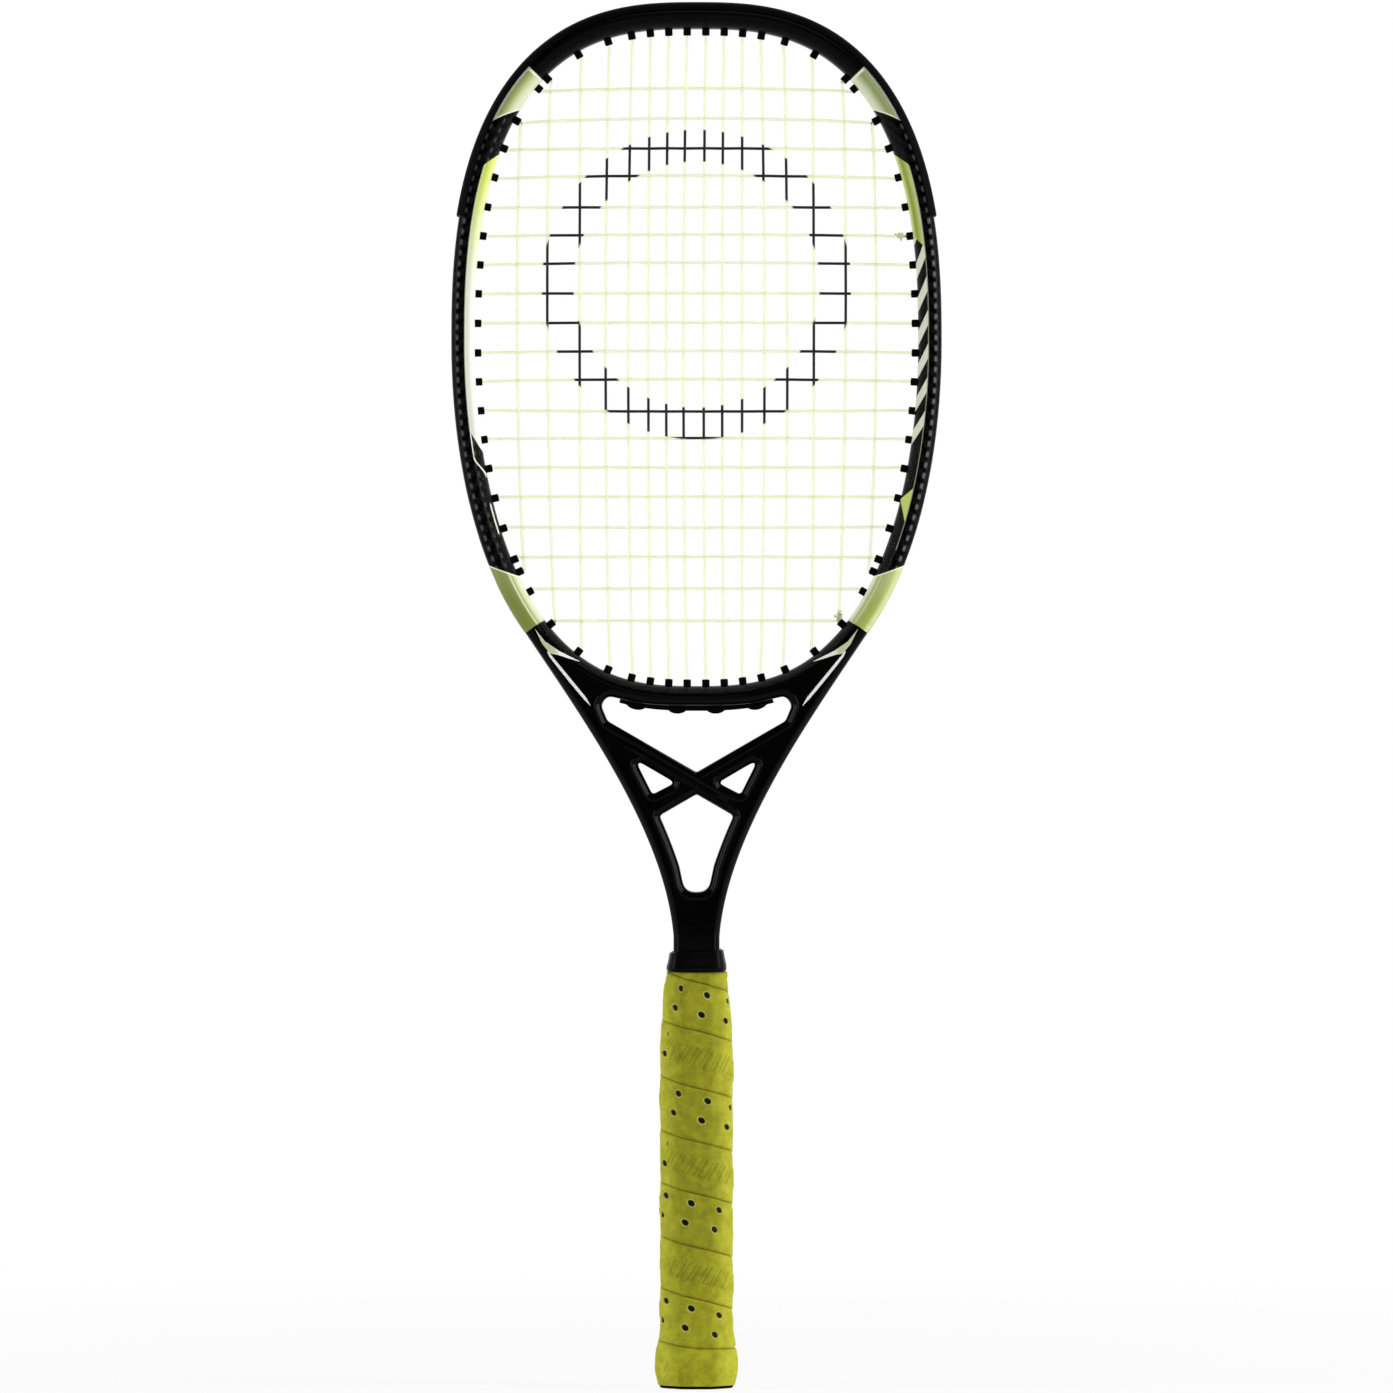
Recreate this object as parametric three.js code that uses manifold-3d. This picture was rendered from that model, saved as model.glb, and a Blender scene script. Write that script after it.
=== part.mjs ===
// A crossminton racket in millimetres, handle down, string face towards -Y.
// X runs across the head, Z from the butt to the top of the head.
import * as THREE from 'three';
import { mergeVertices } from 'three/addons/utils/BufferGeometryUtils.js';
import Module from 'manifold-3d';

const wasm = await Module();
wasm.setup();

// Whole racket
const racketLength = 590;
const fitGap = 0.3;
const overrun = 3;
const weld = 1e-4;

// String-side edge of the head, a rounded oval about its widest height
const bedHalfWidth = 94.5;
const bedRiseShare = 0.2261;
const bedDropShare = 0.2485;
const upperCurveShares = [2.79, 2.52];
const lowerCurveShares = [2.77, 2.02];
const bedSteps = 56;

// Frame section: width outwards from the string side, depth along Y
const frameWidth = 9.9;
const frameDepth = 20;
const frameWall = 1.4;
const grooveWidth = 6.6;
const grooveDepth = 2.6;
const frameShares = [[0, 0.26], [0.12, 0.58], [0.4, 0.94], [0.6, 1], [0.82, 0.94], [0.95, 0.8], [1, 0.6]];
const cavityShares = [[0, 0.3], [0.5, 0.72], [1, 0.82]];

// Strings
const stringRadius = 0.625;
const stringGap = 0.3;
const stringSides = 5;
const mainShares = [0.042, 0.125, 0.208, 0.292, 0.398, 0.531, 0.673, 0.818];
const crossShares = [
  0.091, 0.14, 0.182, 0.226, 0.271, 0.315, 0.359, 0.403, 0.448, 0.493,
  0.537, 0.581, 0.625, 0.669, 0.714, 0.76, 0.807, 0.856, 0.905,
];
const pairedHoles = 5.7;
const knotTurns = 1.25;
const knotSteps = 8;
const knotStandoff = 1.6;
const tightCorner = 1.1;
const loopGap = 0.45;

// Grommets
const boreClearance = 0.3;
const barrelWall = 0.65;
const barrelSides = 6;
const holeSides = 4;
const barrelReach = 2.6;
const stripFloor = 0.8;
const stripWall = 0.8;
const stripEndMargin = 3.4;
const bridgeStripRise = 0.7;
const humpWidth = 7.6;
const humpHeight = 1.2;

// Bumper guard
const guardThickness = 0.9;
const guardPastTie = 2.2;

// Throat
const jointBeforeHole = 3.2;
const spigotLength = 20;
const spigotInset = 0.45;
const bridgeDepth = 8.4;
const bridgeEndDepth = 9.8;
const openingWidthShare = 0.4254;
const armWidth = 8.6;
const strutWidth = 8.2;
const strutAngle = 30 * THREE.MathUtils.DEG2RAD;
const braceDropShare = 0.389;
const lowerOpeningShare = 0.39;
const cornerRadius = 1.5;
const endRadius = 4.2;
const armLeaveAngle = 33.7 * THREE.MathUtils.DEG2RAD;
const armLeaveShare = 0.3;
const neckMeetAngle = 4.7 * THREE.MathUtils.DEG2RAD;
const neckMeetShare = 0.311;
const armSteps = 10;
const neckWidth = 19.6;
const neckDepth = 18;
const neckTopShare = 0.326;
const bevelAcross = 2.3;
const bevelDeep = 3.4;

// Handle
const gripTopShare = 0.3;
const gripWidth = 31.1;
const gripDepth = 28;
const buttFlare = 2.15;
const buttZone = 25;
const taperZone = 31;
const taperDrop = 2.85;
const buttShares = [[0, 0.3], [0.28, 1], [0.56, 1], [0.76, 0.5], [1, 0]];
const taperShares = [[0, 0], [0.35, 0.24], [0.68, 0.55], [1, 1]];
const flatShare = 0.42;
const cornerShare = 0.16;

// Grip tape
const tapeThickness = 1.9;
const tapePitch = 22.05;
const seamGap = 0.5;
const firstSeam = 172.4;
const seamEdge = 1;
const seamDip = 0.6;
const tapeChord = 0.4;

// Core tube, shells and butt cap
const coreWidth = 15;
const coreDepth = 13;
const coreWall = 1.5;
const coreCorner = 2;
const coreTopShare = 0.346;
const capFloor = 2.4;
const capHeight = 26;
const capSkirt = 1.7;
const capRimSpread = 0.2;
const capRimHeight = 2;
const capChamfer = 0.5;

// Fasteners
const stapleSpan = 8;
const stapleLegShare = 0.7;
const stapleWire = 0.8;
const stapleHeight = 10.5;
const tackSink = 0.35;
const tackHeadRadius = 2.2;
const tackHeadHeight = 0.7;
const tackPinRadius = 0.65;
const tackPinLength = 4.2;
const tackHeight = 10;

// Collar and finishing tape
const collarHeight = 9.2;
const collarWall = 1.1;
const collarSpread = 1.5;
const collarShares = [[0, 0.4], [0.1, 1], [0.5, 0.62], [0.92, 0.1], [1, -0.25]];
const bandThickness = 0.35;
const bandHeight = 4.6;

// Places that follow from the sizes
const frameHalfDepth = frameDepth / 2;
const grooveFloor = frameWidth - grooveDepth;
const grooveHalf = grooveWidth / 2;
const stripHalf = grooveHalf - fitGap;
const channelHalf = stripHalf - stripWall;
const stripBottom = grooveFloor + fitGap;
const channelFloor = stripBottom + stripFloor;
const lane = stringRadius + stringGap / 2;
const mainLane = -lane;
const crossLane = lane;
const loopReach = channelFloor + loopGap + stringRadius;
const boreRadius = stringRadius + boreClearance;
const barrelRadius = boreRadius + barrelWall;
const barrelCorner = barrelRadius / Math.cos(Math.PI / barrelSides);
const guardReach = frameWidth + fitGap + guardThickness;
const bendReach = barrelReach + stringRadius;
const bedTop = racketLength - guardReach;
const bedRise = racketLength * bedRiseShare;
const bedDrop = racketLength * bedDropShare;
const bedMiddle = bedTop - bedRise;
const bedBottom = bedMiddle - bedDrop;
const openingHalfWidth = bedHalfWidth * openingWidthShare;
const neckTop = racketLength * neckTopShare;
const throatLength = bedBottom - neckTop;
const coreTop = racketLength * coreTopShare;
const gripTop = racketLength * gripTopShare;
const collarFoot = gripTop + fitGap;
const tapeFoot = capRimHeight + fitGap;

// Materials
const finish = (color, roughness, metalness = 0) => new THREE.MeshStandardMaterial({ color, roughness, metalness });
const lacquer = finish(0x15161a, 0.25);
const moulding = finish(0x0d0d0f, 0.35);
const nylon = finish(0x0a0a0a, 0.5);
const gut = finish(0xdfe9a0, 0.3);
const tapeSkin = finish(0xb9bd3c, 0.8);
const rubber = finish(0x0b0b0b, 0.7);
const foam = finish(0x6b675c, 0.9);
const composite = finish(0x1b1c1e, 0.5);
const steel = finish(0xb4b6b8, 0.3, 1);

// Turns a closed geometry into a solid that can be joined and cut.
function toSolid(geometry) {
  const bare = geometry.clone();
  bare.deleteAttribute('normal');
  bare.deleteAttribute('uv');
  const joined = mergeVertices(bare, weld);
  const corners = joined.index.array;
  const kept = [];
  for (let i = 0; i < corners.length; i += 3) {
    const [a, b, c] = [corners[i], corners[i + 1], corners[i + 2]];
    if (a !== b && b !== c && c !== a) kept.push(a, b, c);
  }
  const vertProperties = new Float32Array(joined.attributes.position.array);
  const triVerts = new Uint32Array(kept);
  return new wasm.Manifold(new wasm.Mesh({ numProp: 3, vertProperties, triVerts }));
}

function toGeometry(solid) {
  const made = solid.getMesh();
  const geometry = new THREE.BufferGeometry();
  geometry.setAttribute('position', new THREE.BufferAttribute(new Float32Array(made.vertProperties), 3));
  geometry.setIndex(new THREE.BufferAttribute(new Uint32Array(made.triVerts), 1));
  const flat = geometry.toNonIndexed();
  flat.computeVertexNormals();
  return flat;
}

const joinAll = (solids) => solids.reduce((sum, next) => sum.add(next));

// Skin over equal rings of points, closed at both ends, with its faces turned outwards.
function skin(rings) {
  const count = rings[0].length;
  const positions = rings.flat().flatMap((p) => [p.x, p.y, p.z]);
  const flatRing = layFlat(rings[0]);
  const caps = THREE.ShapeUtils.triangulateShape(flatRing, []);
  const turned = THREE.ShapeUtils.area(flatRing) < 0;
  const index = [];
  for (let r = 0; r + 1 < rings.length; r += 1) {
    for (let k = 0; k < count; k += 1) {
      const [a, b] = [r * count + k, r * count + ((k + 1) % count)];
      index.push(a, b, b + count, a, b + count, a + count);
    }
  }
  const last = (rings.length - 1) * count;
  for (const cap of caps) {
    const [a, b, c] = turned ? [cap[0], cap[1], cap[2]] : cap;
    index.push(c, b, a, a + last, b + last, c + last);
  }
  const geometry = new THREE.BufferGeometry();
  geometry.setAttribute('position', new THREE.Float32BufferAttribute(positions, 3));
  geometry.setIndex(volumeOf(positions, index) < 0 ? index.slice().reverse() : index);
  return geometry;
}

// A ring of points seen in its own plane, wound the way the ring is.
function layFlat(ring) {
  const normal = new THREE.Vector3();
  ring.forEach((p, k) => normal.add(new THREE.Vector3().crossVectors(p, ring[(k + 1) % ring.length])));
  normal.normalize();
  const along = new THREE.Vector3().subVectors(ring[1], ring[0]).normalize();
  const across = new THREE.Vector3().crossVectors(normal, along);
  return ring.map((p) => new THREE.Vector2(p.dot(along), p.dot(across)));
}

function volumeOf(positions, index) {
  const corner = (i) => new THREE.Vector3().fromArray(positions, 3 * index[i]);
  let sum = 0;
  for (let i = 0; i < index.length; i += 3) sum += corner(i).dot(corner(i + 1).cross(corner(i + 2)));
  return sum;
}

// String-side edge of the head: equal steps clockwise from the top, seen from the front.
class BedHalf extends THREE.Curve {
  getPoint(share, target = new THREE.Vector3()) {
    const turn = share * Math.PI;
    const above = Math.cos(turn) >= 0;
    const [across, along] = above ? upperCurveShares : lowerCurveShares;
    const x = bedHalfWidth * Math.abs(Math.sin(turn)) ** (2 / across);
    const reach = Math.abs(Math.cos(turn)) ** (2 / along);
    return target.set(x, 0, bedMiddle + (above ? bedRise : -bedDrop) * reach);
  }
}

function bedStations() {
  const half = new BedHalf();
  half.arcLengthDivisions = bedSteps ** 2;
  const right = half.getSpacedPoints(bedSteps / 2);
  const left = right.slice(1, -1).reverse().map((p) => new THREE.Vector3(-p.x, 0, p.z));
  return [...right, ...left].map((p) => new THREE.Vector3(p.x, 0, p.z));
}

const stations = bedStations();
const miters = stations.map((p, i) => {
  const outward = (a, b) => new THREE.Vector3(a.z - b.z, 0, b.x - a.x).normalize();
  const before = outward(stations.at(i - 1), p);
  const after = outward(p, stations[(i + 1) % bedSteps]);
  return before.clone().add(after).divideScalar(1 + before.dot(after));
});
const stepLength = stations[1].distanceTo(stations[0]);

// Point of the frame at a step along the bed edge, a distance outwards and a depth.
function spot(step, out, y = 0) {
  const turned = ((step % bedSteps) + bedSteps) % bedSteps;
  const low = Math.floor(turned) % bedSteps;
  const high = (low + 1) % bedSteps;
  const from = stations[low].clone().addScaledVector(miters[low], out);
  const to = stations[high].clone().addScaledVector(miters[high], out);
  return from.lerp(to, turned - Math.floor(turned)).setY(y);
}

// Whole steps between two steps, with both ends.
function stepsBetween(from, to) {
  const inner = [];
  for (let s = Math.floor(from) + 1; s < to; s += 1) inner.push(s);
  return [from, ...inner, to];
}

// Solid of a section of [outwards, depth] points carried along the bed edge.
function carry(section, from, to) {
  const rings = stepsBetween(from, to).map((s) => section.map(([out, y]) => spot(s, out, y)));
  return toSolid(skin(rings));
}

const bothSides = (half) => [...half, ...half.map(([out, y]) => [out, -y]).reverse()];

// Step between two steps at which a rising or falling reading reaches a value.
function findStep(low, high, reading, value) {
  const rising = reading(high) > reading(low);
  for (let i = 0; i < bedSteps; i += 1) {
    const middle = (low + high) / 2;
    if (reading(middle) < value === rising) low = middle;
    else high = middle;
  }
  return (low + high) / 2;
}

// String rows and the steps of their holes on the right half; the left half mirrors them
const quarterStep = bedSteps / 4;
const halfStep = bedSteps / 2;
const bend = (step, y) => spot(step, -bendReach, y);
const holeX = (step) => spot(step, -barrelReach / 2).x;
const holeZ = (step) => spot(step, -barrelReach / 2).z;
const crossHoles = crossShares.map((share) =>
  findStep(0, halfStep, holeZ, bedTop + share * (bedBottom - bedTop)));
const crossCount = crossShares.length;
const pairedSteps = pairedHoles / stepLength;
const startHole = crossHoles[0] - pairedSteps;
const sharedTop = crossHoles[1];
const tieHole = crossHoles[4];
const sharedFoot = crossHoles[crossCount - 1];
const mainCount = mainShares.length;
const innerMains = mainShares.slice(0, mainCount - 2).map((share) => share * bedHalfWidth);
const innerTops = innerMains.map((x) => findStep(0, quarterStep, holeX, x));
const innerFeet = innerMains.map((x) => findStep(quarterStep, halfStep, holeX, x));
const mainTops = [...innerTops, startHole, sharedTop];
const mainFeet = [...innerFeet, sharedFoot, crossHoles[crossCount - 3] + pairedSteps];

// Every hole once, with the string lanes that it serves
function holeList() {
  const served = new Map();
  const serve = (step, used) => served.set(step, [...(served.get(step) ?? []), used]);
  mainTops.forEach((step) => serve(step, mainLane));
  mainFeet.forEach((step) => serve(step, mainLane));
  crossHoles.forEach((step) => serve(step, crossLane));
  serve(tieHole, mainLane);
  serve(startHole, crossLane);
  const right = [...served].map(([step, lanes]) => ({ step, lanes }));
  return [...right, ...right.map(({ step, lanes }) => ({ step: -step, lanes }))];
}
const holes = holeList();

// Even-sided outline round the lanes of a hole, as [along the edge, depth] points.
function holeOutline(radius, lanes, sides) {
  const corner = radius / Math.cos(Math.PI / sides);
  return Array.from({ length: sides }, (_, k) => {
    const turn = ((2 * k + 1) * Math.PI) / sides;
    const centre = k < sides / 2 ? Math.max(...lanes) : Math.min(...lanes);
    return [corner * Math.cos(turn), centre + corner * Math.sin(turn)];
  });
}

// Straight prism through the frame at a hole, between two distances outwards.
function holePrism({ step, lanes }, radius, sides, from, to) {
  const axis = spot(step, 1).sub(spot(step, 0)).normalize();
  const along = new THREE.Vector3(axis.z, 0, -axis.x);
  const ring = (out) => holeOutline(radius, lanes, sides).map(([t, y]) =>
    spot(step, out).addScaledVector(along, t).setY(y));
  return toSolid(skin([ring(from), ring(to)]));
}

const drillHoles = (list) => joinAll(list.map((hole) =>
  holePrism(hole, barrelCorner + fitGap, holeSides, -overrun, frameWidth + overrun)));

// Adds the barrels of a strip's holes and opens their bores.
function withBarrels(strip, list) {
  const boreEnd = channelFloor + stripWall;
  const barrelRoot = stripBottom + stripFloor / 2;
  const barrels = list.map((hole) => holePrism(hole, barrelRadius, barrelSides, -barrelReach, barrelRoot));
  const bores = list.map((hole) => holePrism(hole, boreRadius, holeSides, -barrelReach - overrun, boreEnd));
  return joinAll([strip, ...barrels]).subtract(joinAll(bores));
}

const mid = (step) => (((step % bedSteps) + bedSteps) % bedSteps);
const within = (from, to) => holes.filter(({ step }) => {
  const place = from < 0 ? step : mid(step);
  return place > from && place < to;
});

// The hoop: a hollow section with an outer groove, open at both lower ends
const jointStep = sharedFoot - jointBeforeHole / stepLength;
const frameHalf = frameShares.map(([out, deep]) => [out * frameWidth, deep * frameHalfDepth]);
const cavityWidth = grooveFloor - 2 * frameWall;
const cavityHalf = (inset) => cavityShares.map(([out, deep]) => [
  frameWall + inset + out * (cavityWidth - 2 * inset),
  deep * frameHalfDepth - inset,
]);

function makeHoop() {
  const outline = bothSides([...frameHalf, [frameWidth, grooveHalf], [grooveFloor, grooveHalf]]);
  const body = carry(outline, -jointStep, jointStep);
  const past = overrun / stepLength;
  const cavity = carry(bothSides(cavityHalf(0)), -jointStep - past, jointStep + past);
  return body.subtract(cavity).subtract(drillHoles(within(-jointStep, jointStep)));
}

// Points of an open outline moved sideways by a distance.
function moveOut(points, distance) {
  return points.map(([u, v], k) => {
    const side = (a, b) => {
      const long = Math.hypot(b[0] - a[0], b[1] - a[1]);
      return [(b[1] - a[1]) / long, (a[0] - b[0]) / long];
    };
    const before = side(points[Math.max(k - 1, 0)], points[Math.max(k, 1)]);
    const last = points.length - 1;
    const after = side(points[Math.min(k, last - 1)], points[Math.min(k + 1, last)]);
    const scale = distance / (1 + before[0] * after[0] + before[1] * after[1]);
    return [u + (before[0] + after[0]) * scale, v + (before[1] + after[1]) * scale];
  });
}

// The guard: the top's grommet strip with flanges over the frame's shoulders
const guardStep = tieHole + guardPastTie / stepLength;

function makeGuard() {
  const shoulder = [[frameWidth, stripHalf], ...frameHalf.slice(-3).reverse()];
  const outer = moveOut(shoulder, fitGap + guardThickness).slice(1);
  const inner = moveOut(shoulder, fitGap);
  const half = [
    [channelFloor, channelHalf],
    [guardReach, channelHalf],
    ...outer,
    ...inner.slice().reverse(),
    [stripBottom, stripHalf],
  ];
  return withBarrels(carry(bothSides(half), -guardStep, guardStep), within(-guardStep, guardStep));
}

// A plain strip in the groove: a floor with two low walls
function makeStrip(from, to) {
  const half = [
    [channelFloor, channelHalf],
    [frameWidth, channelHalf],
    [frameWidth, stripHalf],
    [stripBottom, stripHalf],
  ];
  return withBarrels(carry(bothSides(half), from, to), within(from, to));
}

const endMargin = stripEndMargin / stepLength;
const gapSteps = fitGap / stepLength;
const sideFrom = guardStep + gapSteps;
const sideTo = jointStep - gapSteps;
const cornerFrom = jointStep + gapSteps;
const cornerTo = mainFeet[4] + endMargin;
const bridgeFrom = mainFeet[3] - endMargin;

// The strip under the bridge, with a hump over each string loop
function makeBridgeStrip() {
  const bridgeTo = bedSteps - bridgeFrom;
  const wallTop = frameWidth + bridgeStripRise;
  const block = [[stripBottom, -stripHalf], [wallTop, -stripHalf], [wallTop, stripHalf], [stripBottom, stripHalf]];
  const channelTop = wallTop + humpHeight + overrun;
  const channel = [
    [channelFloor, -channelHalf],
    [channelTop, -channelHalf],
    [channelTop, channelHalf],
    [channelFloor, channelHalf],
  ];
  const centres = [0, 2].map((j) => (mainFeet[j] + mainFeet[j + 1]) / 2);
  const humps = [...centres, ...centres.map((step) => bedSteps - step)].map((step) => makeHump(step, wallTop));
  const past = overrun / stepLength;
  const strip = joinAll([carry(block, bridgeFrom, bridgeTo), ...humps])
    .subtract(carry(channel, bridgeFrom - past, bridgeTo + past));
  return withBarrels(strip, within(bridgeFrom, bridgeTo));
}

function makeHump(step, base) {
  const reach = humpWidth / 2 / stepLength;
  const arc = [0, 0.25, 0.5, 0.75, 1].map((share) => share * Math.PI);
  const top = arc.map((turn) => [step - reach * Math.cos(turn), base + humpHeight * Math.sin(turn)]);
  const outline = [...top, [step + reach, stripBottom + stripFloor], [step - reach, stripBottom + stripFloor]];
  const ring = (y) => outline.map(([s, out]) => spot(s, out, y));
  return toSolid(skin([ring(-stripHalf), ring(stripHalf)]));
}

// Outer edge of the right arm, from the hoop's end down to the neck
const armStart = spot(jointStep, frameWidth);
const armEnd = new THREE.Vector3(neckWidth / 2, 0, neckTop);
const armLength = armStart.distanceTo(armEnd);
const armCurve = new THREE.CubicBezierCurve(
  new THREE.Vector2(armStart.x, armStart.z),
  new THREE.Vector2(
    armStart.x - armLength * armLeaveShare * Math.sin(armLeaveAngle),
    armStart.z - armLength * armLeaveShare * Math.cos(armLeaveAngle),
  ),
  new THREE.Vector2(
    armEnd.x + armLength * neckMeetShare * Math.sin(neckMeetAngle),
    armEnd.z + armLength * neckMeetShare * Math.cos(neckMeetAngle),
  ),
  new THREE.Vector2(armEnd.x, armEnd.z),
);

// Inner edge of the right arm as [x, z] points from top to bottom.
const innerArm = armCurve.getPoints(4 * armSteps).map((p, k) => {
  const slope = armCurve.getTangent(k / (4 * armSteps));
  return [p.x + slope.y * armWidth, p.y - slope.x * armWidth];
});

function innerArmAt(z) {
  const k = innerArm.findIndex((p) => p[1] <= z);
  const [high, low] = [innerArm[k - 1], innerArm[k]];
  return THREE.MathUtils.mapLinear(z, low[1], high[1], low[0], high[0]);
}

// Corner where a brace edge, rising outwards by a slope from a height, meets the inner arm.
function armCorner(height, slope) {
  let [low, high] = [0, bedHalfWidth];
  for (let i = 0; i < bedSteps; i += 1) {
    const x = (low + high) / 2;
    if (x < innerArmAt(height + slope * x)) low = x;
    else high = x;
  }
  return [low, height + slope * low];
}

const mirrorPath = (points) => [...points, ...points.slice().reverse().map(([x, z, r]) => [-x, z, r])];

// Closed path through [x, z, radius] corners; a radius rounds its corner.
function roundedPath(corners, path = new THREE.Path()) {
  corners.forEach(([x, z, radius = 0], k) => {
    const corner = new THREE.Vector2(x, z);
    const [bx, bz] = corners.at(k - 1);
    const [ax, az] = corners[(k + 1) % corners.length];
    const back = new THREE.Vector2(bx - x, bz - z);
    const ahead = new THREE.Vector2(ax - x, az - z);
    const half = Math.abs(back.angleTo(ahead)) / 2;
    const cut = Math.min(radius / Math.tan(half), back.length() / 2.2, ahead.length() / 2.2);
    const start = corner.clone().addScaledVector(back.normalize(), cut);
    const end = corner.clone().addScaledVector(ahead.normalize(), cut);
    if (k === 0) path.moveTo(start.x, start.y);
    else path.lineTo(start.x, start.y);
    if (radius > 0) path.quadraticCurveTo(x, z, end.x, end.y);
  });
  path.closePath();
  return path;
}

const braceHeight = bedBottom - throatLength * braceDropShare;
const strutHalf = strutWidth / 2 / Math.cos(strutAngle);
const strutSlope = Math.tan(strutAngle);
const lowerEnd = braceHeight - strutHalf - throatLength * lowerOpeningShare;

// Underside of the bridge over the upper opening, from the centre to the right end.
function bridgeUnderside() {
  const under = (step) => bridgeDepth + (bridgeEndDepth - bridgeDepth) * (spot(step, 0).x / openingHalfWidth) ** 2;
  const end = findStep(quarterStep, halfStep, (step) => spot(step, under(step)).x, openingHalfWidth);
  const steps = stepsBetween(end, halfStep).slice(0, -1);
  return steps.map((step, k) => {
    const p = spot(step, under(step));
    return [p.x, p.z, k === 0 ? endRadius : 0];
  });
}

function throatOpenings() {
  const [footX, footZ] = armCorner(braceHeight + strutHalf, strutSlope);
  const middle = spot(halfStep, bridgeDepth);
  const right = [[footX, footZ, endRadius], ...bridgeUnderside()];
  const upper = [[0, braceHeight + strutHalf, cornerRadius], ...right, [middle.x, middle.z],
    ...right.slice().reverse().map(([x, z, r]) => [-x, z, r])];
  const high = armCorner(braceHeight - strutHalf, strutSlope);
  const low = armCorner(braceHeight + strutHalf, -strutSlope);
  const side = [[strutHalf / strutSlope, braceHeight, cornerRadius], [...high, cornerRadius], [...low, cornerRadius]];
  const shoulder = armCorner(braceHeight - strutHalf, -strutSlope);
  const footHalf = innerArmAt(lowerEnd + endRadius);
  const waist = (shoulder[1] + lowerEnd) / 2;
  const flank = [[...shoulder, cornerRadius], [innerArmAt(waist), waist], [footHalf, lowerEnd, endRadius]];
  const lower = [[0, braceHeight - strutHalf, cornerRadius], ...mirrorPath(flank)];
  const otherSide = side.map(([x, z, r]) => [-x, z, r]);
  return [upper, side, otherSide, lower].map((corners) => roundedPath(corners));
}

function throatOutline() {
  const past = overrun / stepLength;
  const top = stepsBetween(jointStep - past, bedSteps - jointStep + past)
    .map((step) => spot(step, 0)).map((p) => [p.x, p.z]);
  const end = spot(jointStep - past, frameWidth);
  const arm = armCurve.getPoints(armSteps).map((p) => [p.x, p.y]);
  const right = [[end.x, end.z], ...arm, [neckWidth / 2, collarFoot]];
  const left = right.map(([x, z]) => [-x, z]);
  const shape = roundedPath([...top, ...left, ...right.reverse()], new THREE.Shape());
  shape.holes = throatOpenings();
  return shape;
}

// Share of the frame's depth that is left at a height, from the hoop's end to the neck's foot.
const depthShare = (z) => THREE.MathUtils.mapLinear(z, armStart.z, collarFoot, 1, neckDepth / frameDepth);

function throatBody() {
  const plate = new THREE.ExtrudeGeometry(throatOutline(), {
    depth: frameDepth - 2 * bevelDeep,
    bevelSize: bevelAcross,
    bevelOffset: -bevelAcross,
    bevelThickness: bevelDeep,
    bevelSegments: 1,
    curveSegments: 3,
  });
  plate.translate(0, 0, bevelDeep - frameHalfDepth);
  plate.rotateX(Math.PI / 2);
  const places = plate.attributes.position;
  for (let i = 0; i < places.count; i += 1) places.setY(i, places.getY(i) * depthShare(places.getZ(i)));
  return toSolid(plate);
}

// Block on the hoop's side of the joint, seen from the throat.
function jointCutter(side) {
  const far = 3 * overrun;
  const near = jointStep + gapSteps;
  const corners = [[near, -overrun], [near, frameWidth + overrun]]
    .map(([step, out]) => spot(side * step, out));
  const back = spot(side * (near - 1), frameWidth).sub(spot(side * near, frameWidth)).setLength(far);
  const outline = [corners[0], corners[1], corners[1].clone().add(back), corners[0].clone().add(back)];
  const ring = (y) => outline.map((p) => new THREE.Vector3(p.x, y, p.z));
  return toSolid(skin([ring(-frameDepth), ring(frameDepth)]));
}

function makeThroat() {
  const past = overrun / stepLength;
  const tunnelTop = Math.max(loopReach + stringRadius, frameWidth) + fitGap;
  const tunnel = carry([
    [grooveFloor, -grooveHalf],
    [tunnelTop, -grooveHalf],
    [tunnelTop, grooveHalf],
    [grooveFloor, grooveHalf],
  ], jointStep - past, bedSteps - jointStep + past);
  const spigot = carry(bothSides(cavityHalf(spigotInset)), jointStep - spigotLength / stepLength, jointStep + past / 2);
  const socket = ringLoft(bevelRing, [[collarFoot - overrun, fitGap], [coreTop + fitGap, fitGap]]);
  const drilled = holes.filter(({ step }) => Math.abs(step) > jointStep - (spigotLength + overrun) / stepLength);
  return throatBody()
    .subtract(joinAll([jointCutter(1), jointCutter(-1)]))
    .subtract(tunnel)
    .add(spigot)
    .add(spigot.mirror([1, 0, 0]))
    .subtract(drillHoles(drilled))
    .subtract(socket);
}

// One continuous tube through a list of points, with mitred bends and closed ends.
function tubeThrough(route) {
  const ways = route.slice(1).map((p, i) => new THREE.Vector3().subVectors(p, route[i]).normalize());
  const first = new THREE.Vector3(0, 1, 0);
  if (Math.abs(first.dot(ways[0])) > Math.SQRT1_2) first.set(1, 0, 0);
  const side = new THREE.Vector3().crossVectors(ways[0], first).normalize();
  const other = new THREE.Vector3().crossVectors(ways[0], side);
  let ring = Array.from({ length: stringSides }, (_, k) => {
    const turn = (2 * Math.PI * (k + 0.5)) / stringSides;
    return route[0].clone()
      .addScaledVector(side, stringRadius * Math.cos(turn))
      .addScaledVector(other, stringRadius * Math.sin(turn));
  });
  const rings = [ring];
  for (let i = 1; i < route.length; i += 1) {
    const way = ways[i - 1];
    const facing = i < ways.length ? way.clone().add(ways[i]).normalize() : way;
    ring = ring.map((p) => {
      const reach = new THREE.Vector3().subVectors(route[i], p).dot(facing) / way.dot(facing);
      return p.clone().addScaledVector(way, reach);
    });
    rings.push(ring);
  }
  return skin(rings);
}

const mouth = (step, y) => spot(step, loopReach, y);

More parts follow.
